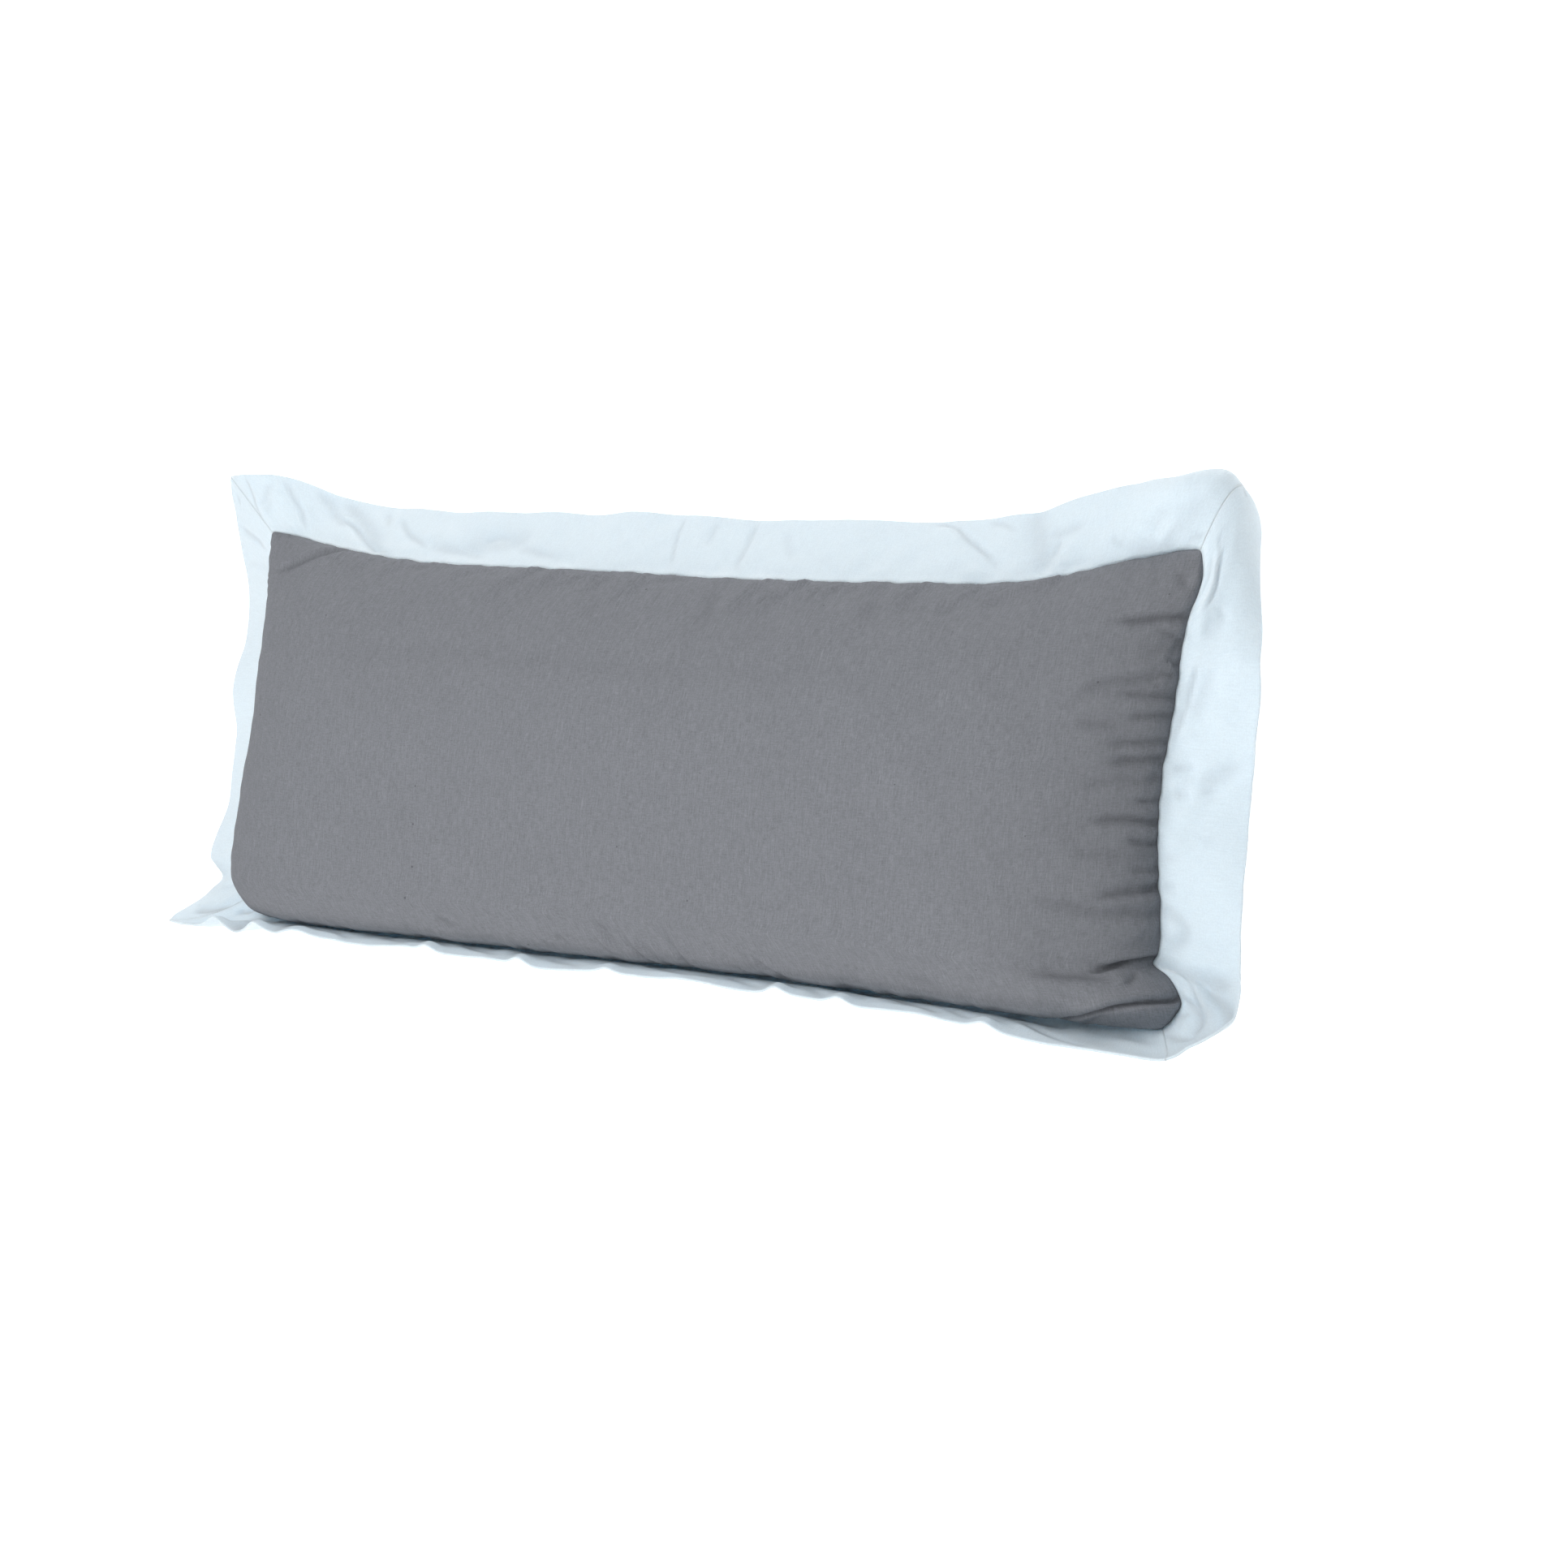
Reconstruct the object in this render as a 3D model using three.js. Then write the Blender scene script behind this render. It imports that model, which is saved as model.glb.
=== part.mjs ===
// Lumbar pillow with a flat sewn border.
// A long filled body lies on its back; four mitred strips of doubled cloth are sewn round its seam.
// Millimetres, +X along the pillow, +Y across it, +Z out of its face.
import * as THREE from "three";

// ---- named sizes -----------------------------------------------------------
const HALF_LENGTH = 441.5; // seam corner to seam corner, halved, filled
const HALF_WIDTH = 167.5;
const CROWN = 80; // face above the seam
const BACK = 52; // back below the seam, flattened where it rests
const RIM = 0.8; // the two panels' edge where they meet at the seam
const END_FALL_LEFT = 150; // length over which the crown falls away to each end
const END_FALL_RIGHT = 160;
const END_TILT = 34; // the end is fuller low down and slimmer high up by this much
const SAG = 4; // how far the face swells over the lower seam
const FACE = { endPower: 2.2, endRise: 0.58, upperPower: 2.2, upperRise: 0.6, lowerPower: 8, lowerRise: 0.42 };
const SLIM = { share: 0.7, over: 42 }; // the lower left corner is less full by this share, over this much
const REST_SHARE = 1.25; // the back is flat where the crown would pass 1 / this
const REST_ROUND = 1.6;

const FLANGE = 63.5; // width of each border strip
const CLOTH = 2; // two layers of cloth, pressed
const ROOT = { share: 0.45, over: 6 }; // the strip is thinner where it is sewn in, over this much of its width
const GAP = 0.35; // between neighbouring pieces
const FAN = 120; // the mitred ends fan out over this length
const MEET = 110; // each end bends towards its corner over this length
const SEWN = 12; // folds die out this close to the seam
const SQUARE = 14; // the two strips of a mitre share one slope over this length

const BODY_CELLS = { along: 38, across: 23 };
const STRIP_CELLS = { perRun: 2, across: 5 }; // two cells along each straight run of the seam
const GATHER = 0.75; // how strongly the body's cells narrow towards the seam

// ---- the seam and the border's lean, one row for each section ----------------
// at: along the side from its middle; drawn: how far the seam is pulled in;
// root, tip: lean in degrees at the seam and at the free edge, + towards the face;
// curl: how many degrees the free edge then falls away.
const SIDES = {
  top: {
    along: [1, 0], out: [0, 1], half: HALF_LENGTH, off: HALF_WIDTH, ends: ["tl", "tr"], turn: 1,
    rows: [
      { at: -441.5, drawn: 0, root: -12, tip: -12 },
      { at: -415, drawn: 3, root: -5, tip: -7 },
      { at: -375, drawn: 10.5, root: -34, tip: -40 },
      { at: -315, drawn: 19, root: -42, tip: -50 },
      { at: -250, drawn: 24.5, root: -37, tip: -44 },
      { at: -160, drawn: 26, root: -35, tip: -39 },
      { at: -60, drawn: 27.5, root: -32, tip: -38 },
      { at: 40, drawn: 30, root: -32, tip: -38 },
      { at: 130, drawn: 30.5, root: -32, tip: -38 },
      { at: 200, drawn: 29.5, root: -33, tip: -41 },
      { at: 256, drawn: 29, root: -33, tip: -37 },
      { at: 300, drawn: 26.5, root: -25, tip: -29 },
      { at: 340, drawn: 20.5, root: -16, tip: -18 },
      { at: 375, drawn: 12, root: -9, tip: -13 },
      { at: 410, drawn: 4.6, root: 14, tip: -6 },
      { at: 428, drawn: 1, root: 6, tip: -30 },
      { at: 441.5, drawn: 0, root: -10, tip: -60 },
    ],
  },
  bottom: {
    along: [1, 0], out: [0, -1], half: HALF_LENGTH, off: HALF_WIDTH, ends: ["bl", "br"], turn: 0.35, curl: 36,
    rows: [
      { at: -441.5, drawn: 0, root: 8, tip: 72 },
      { at: -415, drawn: -1, root: 30, tip: 84 },
      { at: -390, drawn: -1.8, root: 50, tip: 92.6 },
      { at: -360, drawn: -2.6, root: 52, tip: 96 },
      { at: -330, drawn: -3, root: 46, tip: 101 },
      { at: -220, drawn: -1.5, root: 44, tip: 100.3 },
      { at: -100, drawn: 0.5, root: 44, tip: 101.6 },
      { at: 0, drawn: 2.5, root: 44, tip: 101.1 },
      { at: 90, drawn: 4, root: 44, tip: 100.2 },
      { at: 200, drawn: 4, root: 44, tip: 101.8 },
      { at: 270, drawn: 3.3, root: 44, tip: 100 },
      { at: 320, drawn: 2.5, root: 44, tip: 100.5 },
      { at: 380, drawn: 1, root: 36, tip: 89.3 },
      { at: 415, drawn: 0.5, root: 12, tip: 84 },
      { at: 441.5, drawn: 0, root: 6, tip: 80 },
    ],
  },
  right: {
    along: [0, 1], out: [1, 0], half: HALF_WIDTH, off: HALF_LENGTH, ends: ["br", "tr"], turn: 1,
    rows: [
      { at: -167.5, drawn: 0, root: 60, tip: 72 },
      { at: -158, drawn: -7, root: 49, tip: 60 },
      { at: -148, drawn: -11.7, root: 36, tip: 46 },
      { at: -140, drawn: -8, root: 26, tip: 34 },
      { at: -130, drawn: 0.5, root: 15, tip: 22 },
      { at: -122, drawn: 12, root: 6, tip: 14 },
      { at: -115, drawn: 9, root: 3, tip: 11 },
      { at: -105, drawn: 8, root: 2, tip: 10 },
      { at: -90, drawn: 9, root: 9, tip: 11 },
      { at: -60, drawn: 13, root: 6, tip: 4 },
      { at: -20, drawn: 16, root: -4, tip: -8 },
      { at: 10, drawn: 15.5, root: -8, tip: -10 },
      { at: 45, drawn: 12, root: -2, tip: 0 },
      { at: 80, drawn: 9.5, root: 2, tip: 4 },
      { at: 110, drawn: 7.5, root: -20, tip: -16 },
      { at: 130, drawn: 2, root: -25, tip: -21 },
      { at: 150, drawn: -2.5, root: -28, tip: -40 },
      { at: 167.5, drawn: 0, root: -10, tip: -60 },
    ],
  },
  left: {
    along: [0, 1], out: [-1, 0], half: HALF_WIDTH, off: HALF_LENGTH, ends: ["bl", "tl"], turn: 1,
    rows: [
      { at: -167.5, drawn: 0, root: 10, tip: 26 },
      { at: -160, drawn: 1, root: 4, tip: 8 },
      { at: -152, drawn: 1.5, root: -4, tip: -12 },
      { at: -144, drawn: 2, root: -12, tip: -27 },
      { at: -136, drawn: 2, root: -18, tip: -36 },
      { at: -129, drawn: 2, root: -22, tip: -44 },
      { at: -122, drawn: 3, root: -18, tip: -32 },
      { at: -116, drawn: 4.5, root: -15, tip: -20 },
      { at: -108, drawn: 5.5, root: -14, tip: -17 },
      { at: -70, drawn: 9.5, root: -20, tip: -22 },
      { at: -20, drawn: 14, root: -20, tip: -22 },
      { at: 25, drawn: 15.5, root: -13, tip: -15 },
      { at: 70, drawn: 13.5, root: -20, tip: -22 },
      { at: 115, drawn: 8.5, root: -27, tip: -29 },
      { at: 145, drawn: 3, root: -27, tip: -29 },
      { at: 167.5, drawn: 0, root: -20, tip: -24 },
    ],
  },
};

// Each corner: the seam's corner, from there to the border's tip, and how the mitre bows between them.
const CORNERS = {
  tl: { at: [-HALF_LENGTH, HALF_WIDTH], tip: [-72, 51, -16], bow: [0, 0, 0] },
  tr: { at: [HALF_LENGTH, HALF_WIDTH], tip: [15, 39.5, -40], bow: [12, 22, 20] },
  br: { at: [HALF_LENGTH, -HALF_WIDTH], tip: [30, -12, 66], bow: [3, -4, 0] },
  bl: { at: [-HALF_LENGTH, -HALF_WIDTH], tip: [-67, -20, 24], bow: [0, -7, 0] },
};

// Soft folds in the border, each a line on the flat strip: from (along, reach) to (along, reach).
const STRIP_FOLDS = [
  { side: "bottom", a0: -396, r0: 36, a1: -396, r1: 76, half: 9, rise: 5 },
  { side: "bottom", a0: -377, r0: 40, a1: -377, r1: 76, half: 9, rise: -4.5 },
  { side: "bottom", a0: -359, r0: 47, a1: -359, r1: 76, half: 9, rise: 6 },
  { side: "bottom", a0: -318, r0: 56, a1: -318, r1: 76, half: 12, rise: 2.5 },
  { side: "bottom", a0: -176, r0: 57, a1: -176, r1: 76, half: 10, rise: 4 },
  { side: "bottom", a0: -82, r0: 59, a1: -82, r1: 76, half: 10, rise: 5 },
  { side: "bottom", a0: 159, r0: 59, a1: 159, r1: 76, half: 10, rise: 5 },
  { side: "bottom", a0: 213, r0: 60, a1: 213, r1: 76, half: 11, rise: 5 },
  { side: "bottom", a0: 331, r0: 59, a1: 331, r1: 76, half: 10, rise: 5 },
  { side: "bottom", a0: 385, r0: 46, a1: 385, r1: 76, half: 24, rise: -2 },
  { side: "top", a0: -322, r0: 8, a1: -366, r1: 52, half: 9, rise: -4 },
  { side: "top", a0: -222, r0: 22, a1: -176, r1: 30, half: 15, rise: -4 },
  { side: "top", a0: 268, r0: 6, a1: 228, r1: 48, half: 10, rise: 3 },
  { side: "top", a0: 318, r0: 14, a1: 300, r1: 56, half: 12, rise: -4 },
  { side: "right", a0: -124, r0: 6, a1: -150, r1: 48, half: 12, rise: -8 },
  { side: "right", a0: 150, r0: 12, a1: 108, r1: 14, half: 8, rise: 2.4 },
];

// Soft folds in the face, from (x, y) to (x, y) on the seam plane.
const FACE_FOLDS = [
  { x0: 438, y0: -118, x1: 400, y1: -126, half: 7, rise: -5 },
  { x0: 438, y0: -143, x1: 385, y1: -159, half: 7, rise: -5 },
];

// ---- helpers ---------------------------------------------------------------
// A smooth curve through one column of a table, with no overshoot between its rows.
function section(rows, column, at) {
  const last = rows.length - 1;
  let i = 0;
  while (i < last - 1 && at > rows[i + 1].at) i++;
  const span = (k) => rows[k + 1].at - rows[k].at;
  const grade = (k) => (rows[k + 1][column] - rows[k][column]) / span(k);
  const slope = (k) => {
    if (k === 0) return grade(0);
    if (k === last) return grade(last - 1);
    const before = grade(k - 1);
    const after = grade(k);
    return before * after <= 0 ? 0 : (2 * before * after) / (before + after);
  };
  const h = span(i);
  const t = Math.min(1, Math.max(0, (at - rows[i].at) / h));
  return (
    (2 * t ** 3 - 3 * t ** 2 + 1) * rows[i][column] +
    (t ** 3 - 2 * t ** 2 + t) * h * slope(i) +
    (-2 * t ** 3 + 3 * t ** 2) * rows[i + 1][column] +
    (t ** 3 - t ** 2) * h * slope(i + 1)
  );
}

const UP = new THREE.Vector3(0, 0, 1);
const ease = (t) => THREE.MathUtils.smoothstep(t, 0, 1);
const clamp01 = (t) => Math.min(1, Math.max(0, t));

// Distance from a point to a fold's line, all on the flat cloth.
function away(x, y, x0, y0, x1, y1) {
  const dx = x1 - x0;
  const dy = y1 - y0;
  const s = clamp01(((x - x0) * dx + (y - y0) * dy) / (dx * dx + dy * dy));
  return Math.hypot(x - x0 - s * dx, y - y0 - s * dy);
}
const swell = (distance, half) => Math.exp(-((distance / half) ** 2));

const gather = (s) => GATHER * Math.sin((s * Math.PI) / 2) + (1 - GATHER) * s;

// ---- the seam ----------------------------------------------------------------
// Body and border share one seam of short straight runs, so that they stay the same gap apart.
const runs = (cells, half) => Array.from({ length: cells + 1 }, (_, k) => half * gather((2 * k) / cells - 1));
// How far the seam's line is drawn in where it carries over to the right strip's free edge.
const FREED = [
  { at: -167.5, drawn: 0 }, { at: -158, drawn: 0.5 }, { at: -152, drawn: -3.5 }, { at: -148, drawn: -5.5 },
  { at: -140, drawn: -6 }, { at: -130, drawn: -0.8 }, { at: -122, drawn: 5 }, { at: -115, drawn: 7 },
  { at: -105, drawn: 8.3 }, { at: -90, drawn: 7.5 }, { at: -75, drawn: 8.8 }, { at: -60, drawn: 11.5 },
  { at: -20, drawn: 15.8 }, { at: 10, drawn: 15.5 }, { at: 45, drawn: 12 }, { at: 80, drawn: 9.5 },
  { at: 110, drawn: 6 }, { at: 130, drawn: 2 }, { at: 150, drawn: -2 }, { at: 167.5, drawn: 0 },
];
const RUNS = {
  top: runs(BODY_CELLS.along, HALF_LENGTH),
  bottom: runs(BODY_CELLS.along, HALF_LENGTH),
  left: runs(BODY_CELLS.across, HALF_WIDTH),
  right: runs(BODY_CELLS.across, HALF_WIDTH),
};
function seam(name, at, freed = 0) {
  const side = SIDES[name];
  const stops = RUNS[name];
  let i = 0;
  while (i < stops.length - 2 && at > stops[i + 1]) i++;
  const t = clamp01((at - stops[i]) / (stops[i + 1] - stops[i]));
  const drawn = THREE.MathUtils.lerp(section(side.rows, "drawn", stops[i]), section(side.rows, "drawn", stops[i + 1]), t);
  const loose = name === "right" ? (section(FREED, "drawn", at) - drawn) * freed : 0;
  const reach = side.off - drawn - loose;
  return new THREE.Vector3(side.along[0] * at + side.out[0] * reach, side.along[1] * at + side.out[1] * reach, 0);
}

// ---- the border --------------------------------------------------------------
// A strip's cross-section: fixed width, its lean turning from root to tip within a share of it.
const ARC_STEPS = 24;
function bent(name, at, t) {
  const side = SIDES[name];
  const root = THREE.MathUtils.degToRad(section(side.rows, "root", at));
  const tip = THREE.MathUtils.degToRad(section(side.rows, "tip", at));
  const curl = THREE.MathUtils.degToRad(side.curl ?? 0) * ease((side.half - Math.abs(at)) / FAN);
  let reach = 0;
  let rise = 0;
  for (let k = 0; k < ARC_STEPS; k++) {
    const u = ((k + 0.5) / ARC_STEPS) * t;
    const lean = root + (tip - root) * ease(u / side.turn) - curl * ease((u - 0.4) / 0.6);
    reach += (Math.cos(lean) * t * FLANGE) / ARC_STEPS;
    rise += (Math.sin(lean) * t * FLANGE) / ARC_STEPS;
  }
  let slip = 0;
  side.ends.forEach((corner, k) => {
    const towards = k === 0 ? -1 : 1;
    const share = clamp01((towards * at - (side.half - FAN)) / FAN) ** 1.5;
    const tipAlong = CORNERS[corner].tip[0] * side.along[0] + CORNERS[corner].tip[1] * side.along[1];
    slip += tipAlong * t * share;
  });
  const p = seam(name, at, ease(t * 1.4));
  p.x += side.along[0] * slip + side.out[0] * reach;
  p.y += side.along[1] * slip + side.out[1] * reach;
  p.z += rise;
  return p;
}

// The mitre runs from the seam's corner to the tip, bowed.
function mitre(corner, t) {
  const c = CORNERS[corner];
  const bow = 4 * t * (1 - t);
  return new THREE.Vector3(
    c.at[0] + c.tip[0] * t + c.bow[0] * bow,
    c.at[1] + c.tip[1] * t + c.bow[1] * bow,
    c.tip[2] * t + c.bow[2] * bow,
  );
}

function middle(name, at, t) {
  const side = SIDES[name];
  const p = bent(name, at, t);
  side.ends.forEach((corner, k) => {
    const towards = k === 0 ? -1 : 1;
    const w = ease(1 - (side.half - towards * at) / MEET);
    if (w <= 0) return;
    p.addScaledVector(mitre(corner, t).sub(bent(name, towards * side.half, t)), w);
  });
  return p;
}

const hand = (side) => Math.sign(side.along[0] * side.out[1] - side.along[1] * side.out[0]);

function slopeNormal(name, at, t) {
  const side = SIDES[name];
  const a = THREE.MathUtils.clamp(at, -side.half + 1, side.half - 1);
  const r = THREE.MathUtils.clamp(t, 0.04, 0.96);
  const along = middle(name, a + 1, r).sub(middle(name, a - 1, r));
  const across = middle(name, a, r + 0.04).sub(middle(name, a, r - 0.04));
  return along.cross(across).multiplyScalar(hand(side)).normalize();
}

// The strip's own slope, eased at a mitre into the slope it shares with its neighbour.
function normalOf(name, at, t) {
  const side = SIDES[name];
  const n = slopeNormal(name, at, t);
  side.ends.forEach((corner, k) => {
    const towards = k === 0 ? -1 : 1;
    const w = ease(1 - (side.half - towards * at) / SQUARE);
    if (w <= 0) return;
    const other = Object.keys(SIDES).find((key) => key !== name && SIDES[key].ends.includes(corner));
    const end = SIDES[other].ends[0] === corner ? -1 : 1;
    const shared = slopeNormal(name, towards * side.half, t).add(slopeNormal(other, end * SIDES[other].half, t)).normalize();
    n.lerp(shared, w).normalize();
  });
  return n;
}

function folded(name, at, t) {
  const n = normalOf(name, at, t);
  const p = middle(name, at, t);
  const side = SIDES[name];
  const free = ease((side.half - Math.abs(at)) / SQUARE) * ease((t * FLANGE) / SEWN); // nothing folds at a seam
  for (const f of STRIP_FOLDS)
    if (f.side === name)
      p.addScaledVector(n, f.rise * free * swell(away(at, t * FLANGE, f.a0, f.r0, f.a1, f.r1), f.half));
  return { p, n };
}

function strip(name) {
  const side = SIDES[name];
  const stops = RUNS[name];
  const count = stops.length - 1;
  const g = new THREE.BoxGeometry(2, 1, 1, count * STRIP_CELLS.perRun, STRIP_CELLS.across, 1);
  const pos = g.getAttribute("position");
  for (let i = 0; i < pos.count; i++) {
    const place = ((hand(side) * pos.getX(i) + 1) / 2) * count;
    const run = Math.min(count - 1, Math.floor(place + 1e-6));
    const stop = THREE.MathUtils.lerp(stops[run], stops[run + 1], place - run);
    const at = THREE.MathUtils.clamp(stop, GAP - side.half, side.half - GAP);
    const t = GAP / FLANGE + (pos.getY(i) + 0.5) * (1 - GAP / FLANGE);
    const { p, n } = folded(name, at, t);
    const sewn = ease((t * FLANGE) / ROOT.over);
    n.lerp(UP, 1 - sewn).normalize();
    p.addScaledVector(n, pos.getZ(i) * CLOTH * (ROOT.share + (1 - ROOT.share) * sewn));
    pos.setXYZ(i, p.x, p.y, p.z);
  }
  return g;
}

// ---- the filled body -----------------------------------------------------------
// x and y run from -1 to 1 across the face; the outline is the seam's four sides.
function panel(x, y) {
  const u = (x + 1) / 2;
  const v = (y + 1) / 2;
  const p = new THREE.Vector3();
  p.addScaledVector(seam("bottom", x * HALF_LENGTH), 1 - v);
  p.addScaledVector(seam("top", x * HALF_LENGTH), v);
  p.addScaledVector(seam("left", y * HALF_WIDTH), 1 - u);
  p.addScaledVector(seam("right", y * HALF_WIDTH), u);
  p.x -= HALF_LENGTH * (2 * u - 1);
  p.y -= HALF_WIDTH * (2 * v - 1);
  return p;
}

function fullness(x, y) {
  const fall = (x > 0 ? END_FALL_RIGHT : END_FALL_LEFT) + END_TILT * y;
  const q = clamp01(1 - ((1 - Math.abs(x)) * HALF_LENGTH) / fall);
  const end = (1 - q ** FACE.endPower) ** FACE.endRise;
  const side = y > 0 ? (1 - y ** FACE.upperPower) ** FACE.upperRise : (1 - Math.abs(y) ** FACE.lowerPower) ** FACE.lowerRise;
  const corner = Math.hypot((x + 1) * HALF_LENGTH, (y + 1) * HALF_WIDTH);
  return { end: end * (1 - SLIM.share * swell(corner, SLIM.over)), side };
}

function face(x, y) {
  const { end, side } = fullness(x, y);
  const p = panel(x, y);
  if (y < 0) p.y -= SAG * Math.sqrt(end) * 2 * side * Math.sqrt(Math.max(0, 1 - side * side));
  let z = RIM / 2 + CROWN * end * side;
  for (const f of FACE_FOLDS)
    z += f.rise * Math.min(1, 3 * end * side) * swell(away(x * HALF_LENGTH, y * HALF_WIDTH, f.x0, f.y0, f.x1, f.y1), f.half);
  p.z = z;
  return p;
}

function back(x, y) {
  const { end, side } = fullness(x, y);
  const p = panel(x, y);
  p.z = -RIM / 2 - BACK * (1 - clamp01(1 - REST_SHARE * end * side) ** REST_ROUND);
  return p;
}

function body() {
  const g = new THREE.BoxGeometry(2, 2, 1, BODY_CELLS.along, BODY_CELLS.across, 1);
  const pos = g.getAttribute("position");
  for (let i = 0; i < pos.count; i++) {
    const x = gather(pos.getX(i));
    const y = gather(pos.getY(i));
    const p = pos.getZ(i) > 0 ? face(x, y) : back(x, y);
    pos.setXYZ(i, p.x, p.y, p.z);
  }
  return g;
}

// ---- the pieces ------------------------------------------------------------------
const grey = () => new THREE.MeshStandardMaterial({ color: new THREE.Color(0.245, 0.25, 0.28), roughness: 0.95, metalness: 0 });
const white = () => new THREE.MeshStandardMaterial({ color: new THREE.Color(0.78, 0.87, 0.92), roughness: 0.95, metalness: 0 });

function piece(name, geometry, material) {
  geometry.computeVertexNormals();
  const mesh = new THREE.Mesh(geometry, material);
  mesh.name = name;
  return mesh;
}

const pillow = new THREE.Group();
pillow.name = "lumbar_pillow";
pillow.add(piece("pillow_body", body(), grey()));
for (const name of Object.keys(SIDES)) pillow.add(piece("flange_" + name, strip(name), white()));

// The origin is under the middle of the pillow, on the surface that it rests on.
const box = new THREE.Box3().setFromObject(pillow);
for (const mesh of pillow.children)
  mesh.geometry.translate(-(box.min.x + box.max.x) / 2, -(box.min.y + box.max.y) / 2, -box.min.z);

export default pillow;
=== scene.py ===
import math

import bpy
import numpy as np
from mathutils import Matrix, Vector


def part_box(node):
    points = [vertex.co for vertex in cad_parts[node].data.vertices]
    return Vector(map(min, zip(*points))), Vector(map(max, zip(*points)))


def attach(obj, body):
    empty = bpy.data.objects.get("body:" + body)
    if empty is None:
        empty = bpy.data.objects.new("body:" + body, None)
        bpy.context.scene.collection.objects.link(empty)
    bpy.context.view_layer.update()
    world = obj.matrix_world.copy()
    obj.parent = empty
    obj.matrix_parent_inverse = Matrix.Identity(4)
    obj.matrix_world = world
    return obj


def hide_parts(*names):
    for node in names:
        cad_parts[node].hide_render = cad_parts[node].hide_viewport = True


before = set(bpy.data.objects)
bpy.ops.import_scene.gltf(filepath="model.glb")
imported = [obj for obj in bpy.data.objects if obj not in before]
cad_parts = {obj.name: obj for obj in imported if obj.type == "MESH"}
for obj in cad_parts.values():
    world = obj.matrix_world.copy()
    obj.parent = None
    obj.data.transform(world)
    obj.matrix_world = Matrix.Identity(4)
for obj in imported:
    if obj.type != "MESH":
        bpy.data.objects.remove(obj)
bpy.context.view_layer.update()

# ---- named sizes, as in the CAD source ----------------------------------------
HALF_LENGTH, HALF_WIDTH = 441.5, 167.5
CROWN, BACK, RIM = 80.0, 52.0, 0.8
END_FALL_LEFT, END_FALL_RIGHT, END_TILT, SAG = 150.0, 160.0, 34.0, 4.0
END_POWER, END_RISE, UPPER_POWER, UPPER_RISE, LOWER_POWER, LOWER_RISE = 2.2, 0.58, 2.2, 0.6, 8.0, 0.42
SLIM_CORNER, SLIM_OVER = 0.7, 42.0  # the lower left corner is less full by this share, over this much
REST_SHARE, REST_ROUND = 1.25, 1.6
FLANGE, CLOTH = 63.5, 2.0
ROOT_SHARE, ROOT_OVER = 0.45, 6.0
FAN, MEET, SEWN, SQUARE = 120.0, 110.0, 12.0, 14.0
TOUCH = 0.02  # half the gap that is left in a mitre, and the gap along the seam

SIDES = {
    "top": dict(along=(1, 0), out=(0, 1), half=HALF_LENGTH, off=HALF_WIDTH, ends=("tl", "tr"), turn=1.0),
    "bottom": dict(along=(1, 0), out=(0, -1), half=HALF_LENGTH, off=HALF_WIDTH, ends=("bl", "br"), turn=0.35),
    "right": dict(along=(0, 1), out=(1, 0), half=HALF_WIDTH, off=HALF_LENGTH, ends=("br", "tr"), turn=1.0),
    "left": dict(along=(0, 1), out=(-1, 0), half=HALF_WIDTH, off=HALF_LENGTH, ends=("bl", "tl"), turn=1.0),
}
# at, drawn in, lean at the seam, lean at the free edge
ROWS = {
    "top": [
        (-441.5, 0, -12, -12), (-415, 3, -5, -7), (-375, 10.5, -34, -40), (-315, 19, -42, -50),
        (-250, 24.5, -37, -44), (-160, 26, -35, -39), (-60, 27.5, -32, -38), (40, 30, -32, -38),
        (130, 30.5, -32, -38), (200, 29.5, -33, -41), (256, 29, -33, -37), (300, 26.5, -25, -29),
        (340, 20.5, -16, -18), (375, 12, -9, -13), (410, 4.6, 14, -6), (428, 1, 6, -30), (441.5, 0, -10, -60),
    ],
    "bottom": [
        (-441.5, 0, 8, 72), (-415, -1, 30, 84), (-390, -1.8, 50, 92.6), (-360, -2.6, 52, 96),
        (-330, -3, 46, 101), (-220, -1.5, 44, 100.3), (-100, 0.5, 44, 101.6), (0, 2.5, 44, 101.1), (90, 4, 44, 100.2),
        (200, 4, 44, 101.8), (270, 3.3, 44, 100), (320, 2.5, 44, 100.5), (380, 1, 36, 89.3), (415, 0.5, 12, 84),
        (441.5, 0, 6, 80),
    ],
    "right": [
        (-167.5, 0, 60, 72), (-158, -7, 49, 60), (-148, -11.7, 36, 46), (-140, -8, 26, 34), (-130, 0.5, 15, 22),
        (-122, 12, 6, 14), (-115, 9, 3, 11), (-105, 8, 2, 10), (-90, 9, 9, 11), (-60, 13, 6, 4), (-20, 16, -4, -8),
        (10, 15.5, -8, -10), (45, 12, -2, 0), (80, 9.5, 2, 4), (110, 7.5, -20, -16),
        (130, 2, -25, -21), (150, -2.5, -28, -40), (167.5, 0, -10, -60),
    ],
    "left": [
        (-167.5, 0, 10, 26), (-160, 1, 4, 8), (-152, 1.5, -4, -12), (-144, 2, -12, -27), (-136, 2, -18, -36),
        (-129, 2, -22, -44), (-122, 3, -18, -32), (-116, 4.5, -15, -20), (-108, 5.5, -14, -17), (-70, 9.5, -20, -22),
        (-20, 14, -20, -22), (25, 15.5, -13, -15), (70, 13.5, -20, -22), (115, 8.5, -27, -29),
        (145, 3, -27, -29), (167.5, 0, -20, -24),
    ],
}
CURL = {"bottom": 36}  # the lower strip's free edge falls away from the body by this many degrees
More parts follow.
